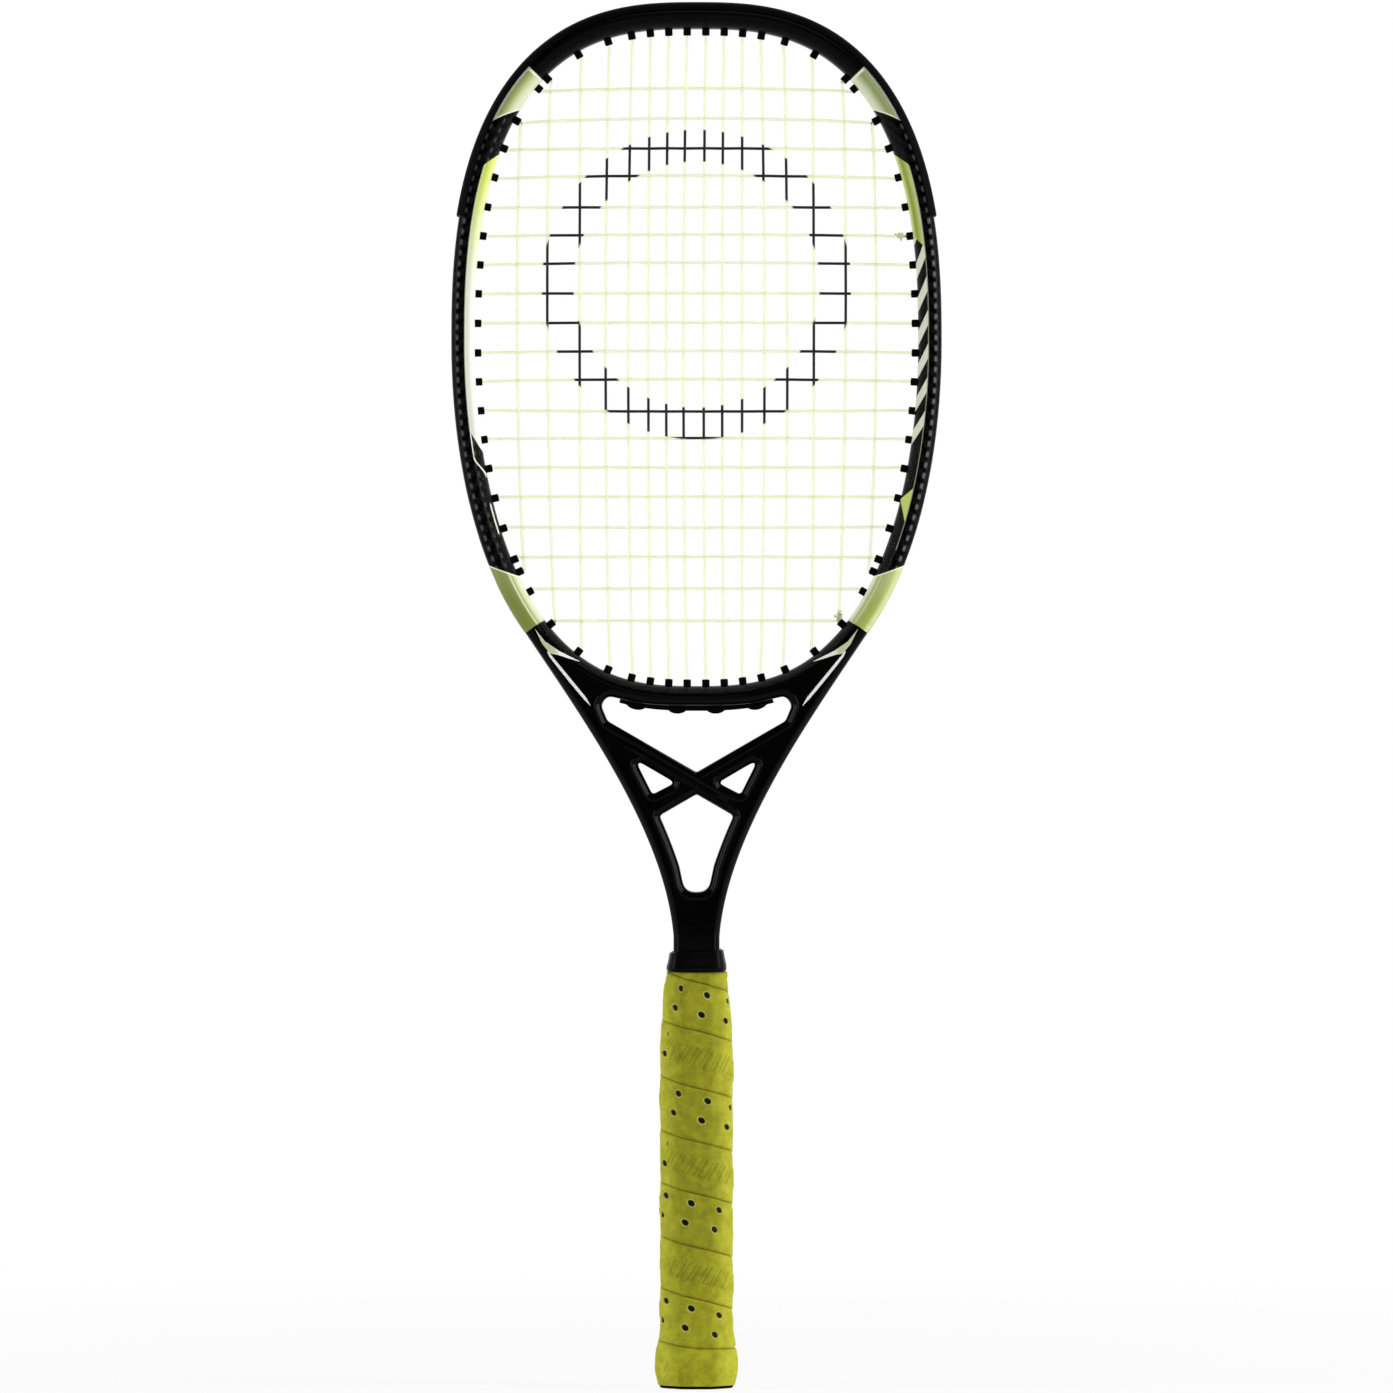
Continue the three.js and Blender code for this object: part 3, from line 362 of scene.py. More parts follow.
class Shell:
    """Gathers the grids and caps of one piece, then welds them and turns their faces outwards."""

    def __init__(self):
        self.points, self.faces, self.lengths, self.count = [], [], [], 0

    def add(self, points, faces, lengths=None):
        flat = np.asarray(points, float).reshape(-1, 3)
        self.points.append(flat)
        self.lengths.append(flat[:, [0, 2]] if lengths is None else np.asarray(lengths, float).reshape(-1, 2))
        self.faces += (np.asarray(faces) + self.count).tolist()
        self.count += len(flat)

    def grid(self, points, lengths=None, wrap=(False, False)):
        """A sheet of rows and columns of points; wrap closes it over either."""
        rows, columns = points.shape[:2]
        r = np.arange(rows - (not wrap[0]))[:, None]
        c = np.arange(columns - (not wrap[1]))[None, :]
        row, next_row = r * columns, (r + 1) % rows * columns
        following = (c + 1) % columns
        faces = joined(row + c, row + following, next_row + following, next_row + c)
        self.add(points, faces.reshape(-1, 4), lengths)

    def cap(self, ring, lengths=None):
        self.add(ring, [list(range(len(ring)))], lengths)

    def loft(self, rings, lengths=None):
        """Closed rings one after the other, with a cap at each end."""
        self.grid(rings, lengths, wrap=(False, True))
        for end in (0, -1):
            self.cap(rings[end], None if lengths is None else lengths[end])

    def piece(self, name, look, slot, *nodes, crease=40.0):
        """Makes the object, rides it on the one body and lets it stand for its CAD nodes."""
        points = np.concatenate(self.points)
        mesh = bpy.data.meshes.new(name)
        mesh.from_pydata((points * MM).tolist(), [], self.faces)
        corner = np.empty(len(mesh.loops), np.int32)
        mesh.loops.foreach_get("vertex_index", corner)
        spread = mesh.uv_layers.new(name="surface")
        spread.data.foreach_set("uv", (np.concatenate(self.lengths) * MM)[corner].astype(np.float32).ravel())
        work = bmesh.new()
        work.from_mesh(mesh)
        bmesh.ops.remove_doubles(work, verts=work.verts, dist=0.002 * MM)
        bmesh.ops.dissolve_degenerate(work, edges=work.edges, dist=0.001 * MM)
        bmesh.ops.recalc_face_normals(work, faces=work.faces)
        work.to_mesh(mesh)
        work.free()
        mesh.shade_smooth()
        mesh.set_sharp_from_angle(angle=math.radians(crease))
        mesh.materials.append(look)
        made = placed(name, mesh)
        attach(made, "root")
        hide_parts(*nodes)


def both_sides(half):
    """A half section of [outwards, depth] points and its mirror image behind, as one ring."""
    half = np.asarray(half, float)
    return np.concatenate([half * [1, -1], half[::-1]])


def front_and_back(half):
    """Half rims from the middle plane outwards, made whole ones from the front face to the back face."""
    return np.concatenate([half[..., ::-1, :] * [1, -1], half], axis=-2)


def carried(shell, section, start, end, pitch):
    """Section points carried along the head edge; a row per station, a column per section point."""
    stations = np.linspace(start, end, max(2, int(abs(end - start) / pitch)))[:, None]
    out, depth = section.T
    shell.loft(EDGE.spot(stations, out, depth), joined(stations, out))


def moved(line, distance):
    """An open line of points moved to its left by a distance, along the mean of its sides' normals."""
    return line - distance * right_of(unit(np.gradient(line, axis=0)))


# ---- frame: hoop, guard, grommet strips

BED_SHOULDER = [(0, 0.01), (0, 1.4), (0.05, 2.6), (0.35, 3.9), (0.9, 5.2), (1.7, 6.5), (2.6, 7.8), (3.4, 8.8),
                (3.9, 9.25), (4.2, 9.45)]
HOOP_HALF = [*BED_SHOULDER, (4.8, 9.8), (5.6, 9.98), (6.4, 9.95), (7.2, 9.75), (8.0, 9.35), (8.8, 8.7),
             (9.4, 7.9), (9.75, 6.9), (9.9, 6), (9.9, 4), (9.75, 3.45), (9.4, 3.3), (7.5, 3.3), (7.3, 3.1),
             (7.3, 0.01)]
BARREL = np.array([(1.66, 7.7), (1.66, -2.3), (1.58, -2.58), (1.4, -2.75), (1.12, -2.78), (0.94, -2.62),
                   (0.9, -2.1), (0.9, 7.7)])
SHARED_STRETCH = 0.62
FINE_PITCH = 1.3
LOOP_HUMP, HUMP_REACH = 1.3, 3.4


def barrels(shell, start, end):
    """Turned barrels through the frame at the holes between two lengths: a lipped profile carried round each
    hole's axis, widened along the depth where two strings share the hole."""
    holes = np.unique(np.round(np.concatenate([MAIN_TOPS, MAIN_FEET, CROSS_HOLES]), 4))
    holes = np.concatenate([holes, -holes, 2 * EDGE.half - holes])
    turn = round_turns(16)
    radius, reach = BARREL.T[..., None]
    for length in holes[(holes > start) & (holes < end)]:
        shared = np.abs(abs(length) - SHARED_HOLES).min() < 0.01
        depth = radius * np.sin(turn) + SHARED_STRETCH * shared * np.sign(np.sin(turn))
        root = EDGE.spot(length, 0.0, 0.0)
        axis = EDGE.spot(length, 1.0, 0.0) - root
        axes = np.array([(axis[2], 0.0, -axis[0]), BACKWARDS, axis])
        shell.grid(root + joined(radius * np.cos(turn), depth, reach) @ axes, wrap=(True, True))


def channel(*lip):
    """Section of a strip that lies in the groove: a flat bed between its lip and the lip's image."""
    return both_sides([(8.4, 0.01), (8.4, 2.2), *lip, (7.6, 3.0), (7.6, 0.01)])


def make_hoop(look):
    """Head hoop: one crowned section with an outer groove, carried along the edge between its two joints."""
    hoop = Shell()
    carried(hoop, both_sides(HOOP_HALF), -JOINT, JOINT, FINE_PITCH)
    hoop.piece("hoop", look, "lacquered_composite", "head_hoop", crease=50)


STRIP = channel((9.72, 2.2), (9.86, 2.32), (9.9, 2.5), (9.88, 2.75), (9.72, 3.0))


def make_strip(name, look, start, end, node, section=STRIP, pitch=1.5):
    """A shallow channel in the frame's groove with its barrels."""
    strip = Shell()
    carried(strip, section, start, end, pitch)
    barrels(strip, start, end)
    strip.piece(name, look, "black_nylon", node)


def make_guard(look):
    """Bumper guard: a channel whose flanges follow the hoop's shoulders 0.3 mm off, 0.9 mm thick, with a
    rounded lip."""
    shoulder = np.array([(9.9, 3.4), (9.9, 6), (9.75, 6.9), (9.4, 7.9), (8.8, 8.7), (8.0, 9.35), (7.6, 9.58)])
    inner, middle, outer = (moved(shoulder, -off) for off in (0.3, 0.75, 1.2))
    nose = middle[-1] + (middle[-1] - middle[-2]) * 0.4
    rounding = moved(shoulder, -1.08)[-1] + (shoulder[-1] - shoulder[-2]) * 0.3
    section = channel((10.75, 2.2), (11.02, 2.45), *outer, rounding, nose, *inner[::-1], (9.8, 3.0))
    make_strip("guard", look, -GUARD_END, GUARD_END, "bumper_guard", section, FINE_PITCH)


def make_bridge_strip(look):
    """Strip under the bridge: its walls rise by 1.3 (1 - d^2)^0.7 over each string loop."""
    out, depth = channel((10.4, 2.2), (10.56, 2.32), (10.6, 2.6), (10.5, 2.9), (10.3, 3.0)).T
    end = 2 * EDGE.half - BRIDGE_FROM
    stations = np.linspace(BRIDGE_FROM, end, 160)[:, None]
    centres = (MAIN_FEET[[0, 2]] + MAIN_FEET[[1, 3]]) / 2
    centres = np.concatenate([centres, 2 * EDGE.half - centres])
    near = np.clip(np.abs(stations - centres).min(axis=1) / HUMP_REACH, 0, 1)[:, None]
    hump = LOOP_HUMP * (1 - near ** 2) ** 0.7
    strip = Shell()
    strip.loft(EDGE.spot(stations, out + hump * (out > 10), depth))
    barrels(strip, BRIDGE_FROM, end)
    strip.piece("bridge_strip", look, "black_nylon", "throat_grommets")


# ---- throat

THROAT_LENGTH = BED_BOTTOM - NECK_TOP
BRACE_HEIGHT = BED_BOTTOM - 0.389 * THROAT_LENGTH
STRUT_TURN = math.radians(30)
STRUT_SLOPE = math.tan(STRUT_TURN)
STRUT_WIDTH = 4.1
STRUT_HALF = STRUT_WIDTH / math.cos(STRUT_TURN)
LOWER_END = BRACE_HEIGHT - STRUT_HALF - 0.39 * THROAT_LENGTH
OPENING_HALF = 0.4254 * BED_HALF_WIDTH
ARM_WIDTH = 8.6
ARM_POINTS = 90
ARM_GROOVE = 2.6
THROAT_TAPER = 0.1
STRUT_LIFT, STRUT_SUNK = 0.95, 0.42
FACE = 9.78

RIM = np.array([(0, 0.01), (0, 6.8), (0.28, 7.8), (0.9, 8.7), (1.6, 9.3), (2.1, 9.56), (2.32, 9.8),
                (2.56, 10.06), (2.82, 10.16), (3.08, 10.06), (3.26, 9.86), (3.38, FACE), (3.5, FACE)])
BED_SIDE = np.array([*BED_SHOULDER, (4.5, 9.66), (4.75, FACE)])
ARM_MIDDLE = [(0, 0.01), (0, 3.1), (0, 3.3), (0, 4)]
ARM_CROWN = np.array([*ARM_MIDDLE, (0, 6), (0.15, 6.9), (0.5, 7.9), (1.1, 8.7), (1.9, 9.35), (2.7, 9.75),
                      (3.3, 9.82), (3.9, FACE)])
ARM_BEVEL = np.array([*ARM_MIDDLE, (0, 6.6), (0.12, 7.2), (0.6, 8.0), (1.15, 8.8), (1.75, 9.5), (2.2, 9.9),
                      (2.6, 9.96), (3.1, FACE)])
STRUT = np.array([(STRUT_WIDTH, 6.2), (3.95, 7.2), (3.5, 8.2), (2.9, 9.1), (2.5, 9.45), (2.3, 9.62),
                  (2.18, 9.86), (2.02, 10.06), (1.8, 10.15), (1.58, 10.06), (1.4, 9.86), (1.28, 9.74),
                  (0.7, 9.76)])


def heading(degrees):
    """Flat direction turned from upwards by an angle."""
    return np.array([math.sin(math.radians(degrees)), math.cos(math.radians(degrees))])


def arm_edge():
    """Outer edge of the right arm from the hoop's end to the neck's foot, as [x, z] points: the cubic
    (1-t)^3 a + 3(1-t)^2 t b + 3(1-t) t^2 c + t^3 d, then a straight neck."""
    a, d = EDGE.spot(JOINT, FRAME_WIDTH, 0.0)[[0, 2]], np.array([NECK_HALF, NECK_TOP])
    span = np.linalg.norm(d - a)
    b, c = a - 0.3 * span * heading(33.7), d + 0.311 * span * heading(4.7)
    t = np.linspace(0, 1, ARM_POINTS)[:, None]
    curve = (1 - t) ** 3 * a + 3 * (1 - t) ** 2 * t * b + 3 * (1 - t) * t * t * c + t ** 3 * d
    return np.concatenate([curve, joined(NECK_HALF, np.linspace(NECK_TOP, COLLAR_FOOT, 9)[1:])])


ARM = arm_edge()
ARM_TOP = float(ARM[0, 1])
INNER_ARM = moved(ARM[:ARM_POINTS], -ARM_WIDTH)


def inner_arm_at(height):
    return float(np.interp(height, INNER_ARM[::-1, 1], INNER_ARM[::-1, 0]))


def arm_corner(height, slope):
    """Where a brace edge, rising outwards from a height, meets the inner arm: halving the span 52 times."""
    low, high = 0.0, BED_HALF_WIDTH
    for _ in range(52):
        x = (low + high) / 2
        low, high = (x, high) if x < inner_arm_at(height + slope * x) else (low, x)
    return low, height + slope * low


def rounded(corners):
    """Closed path through [x, z, radius] corners: each corner is a short quadratic curve, and the straights
    between are cut into pieces under 2.5 mm."""
    curves, count = [], len(corners)
    spots = np.array([corner[:2] for corner in corners])
    for k, (_, _, radius) in enumerate(corners):
        here, back, ahead = spots[k], spots[k - 1] - spots[k], spots[(k + 1) % count] - spots[k]
        lb, la = np.linalg.norm(back), np.linalg.norm(ahead)
        turn = math.acos(np.clip(back @ ahead / (lb * la), -1, 1)) / 2
        cut = min(radius / math.tan(turn), lb / 2.2, la / 2.2)
        start, end = here + back / lb * cut, here + ahead / la * cut
        t = np.linspace(0, 1, 9)[:, None]
        curves.append((1 - t) ** 2 * start + 2 * t * (1 - t) * here + t * t * end if radius else here[None])
    filled = []
    for curve, following in zip(curves, curves[1:] + curves[:1]):
        gap = following[0] - curve[-1]
        t = np.linspace(0, 1, max(1, int(np.linalg.norm(gap) / 2.5)) + 1)[1:-1, None]
        filled += [curve, curve[-1] + gap * t]
    path = np.concatenate(filled)
    after = np.roll(path, -1, axis=0)
    turned = np.sum(path[:, 0] * after[:, 1] - path[:, 1] * after[:, 0]) < 0
    return path[::-1] if turned else path


def bridge_underside():
    """Lower edge of the bridge, right half, from its middle outwards: 8.4 + 1.4 (x / width)^2 below the bed,
    thinned to every eighth point and its end."""
    length = np.linspace(EDGE.half, EDGE.half - 52, 200)
    across = EDGE.spot(length, 0.0, 0.0)[:, 0]
    under = EDGE.spot(length, 8.4 + 1.4 * (across / OPENING_HALF) ** 2, 0.0)[:, [0, 2]]
    kept = under[under[:, 0] < OPENING_HALF - 2.4]
    return np.concatenate([kept[:-46:8], kept[-1:]])


def flipped(corners):
    return [(-x, z, radius) for x, z, radius in corners]


def throat_openings():
    """The four openings between the bridge, the crossed struts and the arms, each as a closed path."""
    under = bridge_underside()
    above, below = BRACE_HEIGHT + STRUT_HALF, BRACE_HEIGHT - STRUT_HALF
    end = (OPENING_HALF + 0.5, under[-1][1] - 3.8, 5.0)
    right = [(*arm_corner(above, STRUT_SLOPE), 4.0), end, (*under[-1], 4.0),
             *[(*spot, 0) for spot in under[-2:0:-1]]]
    upper = [(0, above, 1.5), *right, (*under[0], 0), *flipped(right[::-1])]
    high, low = arm_corner(below, STRUT_SLOPE), arm_corner(above, -STRUT_SLOPE)
    side = [(STRUT_HALF / STRUT_SLOPE + 1.0, BRACE_HEIGHT + 0.2, 1.5), (low[0] - 0.5, low[1] + 1.7, 1.5),
            (high[0] - 2.9, high[1] - 1.9, 1.5)]
    shoulder = arm_corner(below, -STRUT_SLOPE)
    waist = np.linspace(shoulder[1] - 4, LOWER_END + 11, 7)
    flank = [(*shoulder, 1.8), *[(inner_arm_at(z), z, 0) for z in waist],
             (inner_arm_at(LOWER_END + 3), LOWER_END, 7.5)]
    lower = [(0, below, 1.5), *flank, *flipped(flank[::-1])]
    return [rounded(corners) for corners in (upper, side, flipped(side), lower)]


def throat_depth(points):
    """Scales depth by the share left at a height: 1 at the hoop's end down to 0.9 at the neck's foot."""
    share = 1 - THROAT_TAPER * (ARM_TOP - points[..., 2]) / (ARM_TOP - COLLAR_FOOT)
    return points * joined(1.0, share, 1.0)


def set_in(path, inward, section):
    """Section points set in from a path: path + inset * inward, at their depths."""
    spread = path[:, None] + section[..., 0, None] * inward[:, None]
    return joined(spread[..., 0], section[..., 1], spread[..., 1])


def opening_rim(path):
    """The rim's section set in from a closed path, along the mean normals of its sides."""
    before, after = path - np.roll(path, 1, axis=0), np.roll(path, -1, axis=0) - path
    return set_in(path, right_of(unit(unit(before) + unit(after))), front_and_back(RIM))


def arm_rim():
    """Right arm's outer wall: the hoop's crown at the joint eases into a narrower bevel, and the groove in
    the middle of its depth runs out over the first 13 mm."""
    run = run_along(ARM)[:, None]
    half = blend(ARM_CROWN, ARM_BEVEL, smooth(run / 45)[..., None])
    half[:, :2, 0] += ARM_GROOVE * (1 - smooth((run - 3) / 10))
    cut = EDGE.spot(JOINT, [0.0, FRAME_WIDTH], 0.0)[:, [0, 2]]
    inward = right_of(unit(np.gradient(ARM, axis=0)))
    inward = unit(blend(unit(cut[0] - cut[1]), inward, smooth(run / 8)))
    inward = blend(inward, np.array([-1.0, 0.0]), smooth((run - run[-1] + 8) / 8))
    return set_in(ARM, inward, front_and_back(half))


def front_strut():
    """The strut that passes in front at the crossing: a bar on the upper-left to lower-right line whose face
    stands 0.53 mm higher there and sinks level towards both arms."""
    across, depth = np.concatenate([STRUT, STRUT[::-1] * [-1, 1]]).T
    cosine, sine = math.cos(STRUT_TURN), math.sin(STRUT_TURN)
    left, right = (arm_corner(BRACE_HEIGHT, slope)[0] / cosine for slope in (STRUT_SLOPE, -STRUT_SLOPE))
    run = np.linspace(-left - 1.5, right + 1.5, 90)[:, None]
    lift = STRUT_LIFT * smooth((run + left) / 16) * smooth((right - run) / 10) - STRUT_SUNK
    return joined(run * cosine + across * sine, -(depth + lift), BRACE_HEIGHT - run * sine + across * cosine)


def make_throat(look):
    """Throat: swept rims round the bed side, both arms and four openings, flat faces between them, closed at
    both joints and at the neck's foot."""
    throat = Shell()
    stations = np.linspace(JOINT + SEAM_GAP, 2 * EDGE.half - JOINT - SEAM_GAP, 130)
    bed = EDGE.spot(stations[:, None], *front_and_back(BED_SIDE).T)
    right = arm_rim()
    left = right * [-1, 1, 1]
    rims = [opening_rim(path) for path in throat_openings()]
    for rim, closed in [(bed, False), (right, False), (left, False), *[(rim, True) for rim in rims]]:
        throat.grid(throat_depth(rim), wrap=(closed, False))
    for column in (0, -1):
        edge = np.concatenate([bed[:, column], left[:, column], right[::-1, column]])
        loops = [edge, *[rim[:, column] for rim in rims]]
        triangles = tessellate_polygon([[(float(x), float(z), 0.0) for x, _, z in loop] for loop in loops])
        throat.add(throat_depth(np.concatenate(loops)), triangles)
    for one, other in ((bed[0], right[0]), (bed[-1], left[0]), (right[-1], left[-1])):
        throat.cap(throat_depth(np.concatenate([one, other[::-1]])))
    bar = front_strut()
    for turned in (bar, bar * [-1, -1, 1]):
        throat.loft(throat_depth(turned))
    throat.piece("throat_frame", look, "gloss_moulding", "throat", crease=48)


# ---- strings

MAIN_LANE, CROSS_LANE = -0.65, 0.65
BARREL_LANE = 0.6
MAIN_BOW = np.array([
    -2.3, -2.3, -0.7, -1.8, -1.9, -1.1, -1.2, -1.6, -0.9, -0.8, 0.0, 1.8, 1.8, 0.9, 2.3, 2.4])
CROSS_BOW = np.array([
    1.4, 2.0, 0.8, 1.3, 0.3, 0.8, 1.1, 0.3, 0.3, 0.8, 1.0, -0.5, 0.4, 0.1, 0.1, -0.3, 0.3, 0.3, 0.0])
CORNER_CUT, CORNER_EDGE = 1.1, 0.35
KNOT_RADIUS, KNOT_PITCH = 1.27, 1.3


def tube(shell, route, reference=BACKWARDS):
    """A round tube along a route: each ring is r (cos, sin) on the two directions square to the way."""
    way = unit(np.gradient(route, axis=0))
    side = unit(np.cross(way, reference))
    turn = round_turns(8)[:, None]
    rings = np.cos(turn) * side[:, None] + np.sin(turn) * np.cross(side, way)[:, None]
    lengths = joined(run_along(route)[:, None], STRING_RADIUS * turn.T)
    shell.loft(route[:, None] + STRING_RADIUS * rings, lengths)


def eased(at, knots, values):
    """Value between neighbouring knots, v0 + (v1 - v0)(1 - cos(pi f)) / 2."""
    k = np.clip(np.searchsorted(knots, at) - 1, 0, len(knots) - 2)
    f = np.clip((at - knots[k]) / (knots[k + 1] - knots[k]), 0, 1)
    return values[k] + (values[k + 1] - values[k]) * (0.5 - 0.5 * np.cos(math.pi * f))


def tip(length, depth=0.0):
    return EDGE.spot(length, BARREL_TIP - 0.6, depth)


# Mains from left to right: numbers from the middle, and their holes; ends of mains and right ends of crosses
SIGNED = np.concatenate([-np.arange(8, 0, -1), np.arange(1, 9)])
TOP_HOLES = np.sign(SIGNED) * MAIN_TOPS[abs(SIGNED) - 1]
FOOT_HOLES = np.sign(SIGNED) * MAIN_FEET[abs(SIGNED) - 1] % (2 * EDGE.half)
TOPS, FEET, ROW_ENDS = tip(TOP_HOLES), tip(FOOT_HOLES), tip(CROSS_HOLES)


def bowed(share):
    """How far a used string has crept sideways at a share of its length: sin(pi share)^0.7."""
    return np.sin(math.pi * np.clip(share, 0, 1)) ** 0.7


def main_x(height):
    """Where every main stands at a height."""
    share = (np.asarray(height)[..., None] - FEET[:, 2]) / (TOPS[:, 2] - FEET[:, 2])
    return FEET[:, 0] + share * (TOPS[:, 0] - FEET[:, 0]) + MAIN_BOW * bowed(share)


def cross_z(rows, x):
    """Height of crosses at places across."""
    reach = ROW_ENDS[rows, 0]
    return ROW_ENDS[rows, 2] + CROSS_BOW[rows] * bowed((x + reach) / (2 * reach))


ROW_HEIGHTS = ROW_ENDS[:, 2:]
CROSSED = ((np.abs(main_x(ROW_ENDS[:, 2])) < ROW_ENDS[:, :1] - 1.2)
           & (ROW_HEIGHTS < TOPS[:, 2] - 1.2) & (ROW_HEIGHTS > FEET[:, 2] + 1.2))


def turn_out(length, lane):
    """The string's way out through a barrel and round into the groove."""
    reach = np.array([BARREL_TIP, 2.0, 6.0, LOOP_REACH - CORNER_CUT, LOOP_REACH - CORNER_EDGE])
    return EDGE.spot(length, reach, lane * smooth((reach - 0.5) / 5))


def groove_way(start, end, lane):
    """Along the groove between two holes, with its corners cut by 1.1 mm."""
    sign = np.sign(end - start)
    cut, edge = sign * CORNER_CUT, sign * CORNER_EDGE
    middle = np.linspace(start + cut, end - cut, max(2, int(abs(end - start) / 3)))
    return EDGE.spot([start + edge, *middle, end - edge], LOOP_REACH, lane)


def weave(count):
    """Depth behind or in front of the string's plane, by turns."""
    return WEAVE * (1.0 - 2.0 * (count % 2))


def woven_main(m):
    """A main from its top to its foot, past the crosses by turns; its ends lean aside in shared barrels."""
    rows = np.flatnonzero(CROSSED[:, m])[::-1]
    level = cross_z(rows, main_x(ROW_ENDS[rows, 2])[:, m])
    knots = np.concatenate([[FEET[m, 2]], level, [TOPS[m, 2]]])
    foot_lane = -BARREL_LANE * (abs(SIGNED[m]) == 7)
    top_lane = -BARREL_LANE * (abs(SIGNED[m]) >= 7)
    z = np.linspace(TOPS[m, 2], FEET[m, 2], 16 * len(knots))
    return joined(main_x(z)[:, m], eased(z, knots, np.array([foot_lane, *weave(rows + m), top_lane])), z)


def woven_cross(i):
    """A cross from left to right, past the mains by turns; its ends lean aside in shared barrels."""
    mains = np.flatnonzero(CROSSED[i])
    reach, _, z = ROW_ENDS[i]
    knots = np.concatenate([[-reach], main_x(z)[mains], [reach]])
    lane = BARREL_LANE * (i in SHARED_ROWS)
    x = np.linspace(-reach, reach, 16 * len(knots))
    return joined(x, eased(x, knots, np.array([lane, *-weave(mains + i), lane])), cross_z(i, x))


def knot(shell, start, anchor, along):
    """A tie-off: one and a half close turns round the anchor's lane, and a cut tail."""
    turn = np.linspace(0, 3 * math.pi, 40)[:, None]
    front = -BACKWARDS
    beside = np.cross(along, front)
    climb = 1.0 + turn / (2 * math.pi) * KNOT_PITCH
    way = anchor + climb * along + KNOT_RADIUS * (np.cos(turn) * front + np.sin(turn) * beside)
    tail = way[-1] + np.array([0.5, 1.1, 1.8])[:, None] * (0.7 * along + 0.55 * beside + 0.5 * front)
    lead = start + (way[0] - start) * np.array([[0.0], [0.5]])
    tube(shell, np.concatenate([lead, way, tail]), along + 0.001 * front)


def make_string(name, look, node, pieces, start, anchor, along):
    """One string along the pieces of its way, its end knotted round an anchor."""
    strings = Shell()
    tube(strings, np.concatenate(pieces))
    knot(strings, start, anchor, along)
    strings.piece(name, look, "string", node, crease=60)


def make_mains(look):
    """The 16 mains as one string: down and up between its loops in the groove, tied off on the right,
    its left end tucked into the groove."""
    pieces = [groove_way(-TIE_HOLE, TOP_HOLES[0], MAIN_LANE)]
    for m in range(16):
        down = m % 2 == 0
        first, last = (TOP_HOLES, FOOT_HOLES) if down else (FOOT_HOLES, TOP_HOLES)
        pieces += [turn_out(first[m], MAIN_LANE)[::-1], woven_main(m)[::1 if down else -1],
                   turn_out(last[m], MAIN_LANE),
                   groove_way(last[m], last[m + 1] if m < 15 else TIE_HOLE, MAIN_LANE)]
    pieces.append(turn_out(TIE_HOLE, MAIN_LANE)[::-1])
    make_string("mains", look, "main_string", pieces, EDGE.spot(TIE_HOLE, -2.0, -BARREL_LANE),
                tip(TIE_HOLE, BARREL_LANE), np.array([-1.0, 0.0, 0.0]))


def make_crosses(look):
    """The 19 crosses as one string: back and forth between its loops in the groove, its
    top end tucked in, its foot tied to a main."""
    pieces = [groove_way(-MAIN_TOPS[6], -CROSS_HOLES[0], CROSS_LANE)]
    for i, hole in enumerate(CROSS_HOLES):
        way = 1 if i % 2 == 0 else -1
        pieces += [turn_out(-way * hole, CROSS_LANE)[::-1], woven_cross(i)[::way]]
        if i < LAST_ROW:
            pieces += [turn_out(way * hole, CROSS_LANE),
                       groove_way(way * hole, way * CROSS_HOLES[i + 1], CROSS_LANE)]
    foot = CROSS_HOLES[LAST_ROW]
    make_string("crosses", look, "cross_string", pieces, tip(foot, BARREL_LANE), tip(foot, -BARREL_LANE),
                unit(TOPS[14] - FEET[14]))


# ---- handle

GRIP_HALF = 15.55, 14.0
SWELL_AT = np.array([-5, 0, 7, 14, 19, 25, 146, 156.85, 167.08, 177, 190])
SWELL = np.array([0.645, 0.645, 2.15, 2.15, 1.075, 0, 0, -0.684, -1.568, -2.85, -3.6])
SEAM_TURNS = np.array([-0.25, 0.75, 1.75, 2.75, 3.75, 4.75, 5.75, 6.75, 7.53, 7.75, 7.95, 8.35, 8.36, 9.5])
SEAMS = np.array([195.2, 173.1, 152.6, 128.3, 105.5, 83.3, 60.5, 38.6, 20.6, 17.6, 17.2, 18.0, -4.0, -4.0])
STRIP_START = 8.35
STRIP_FOOT = 1.3
STRIP_BED = 1.7
FRONT = 0.75
HOLE_ROWS = ((4.7, 0.0), (13.5, 2.6))
HOLE_PITCH = 12.9
RIB_PITCH, RIB_LEAN, RIB_HALF = 4.6, 0.55, 1.15
RIBS_END = 7.62
COLLAR_TIP = 0.054


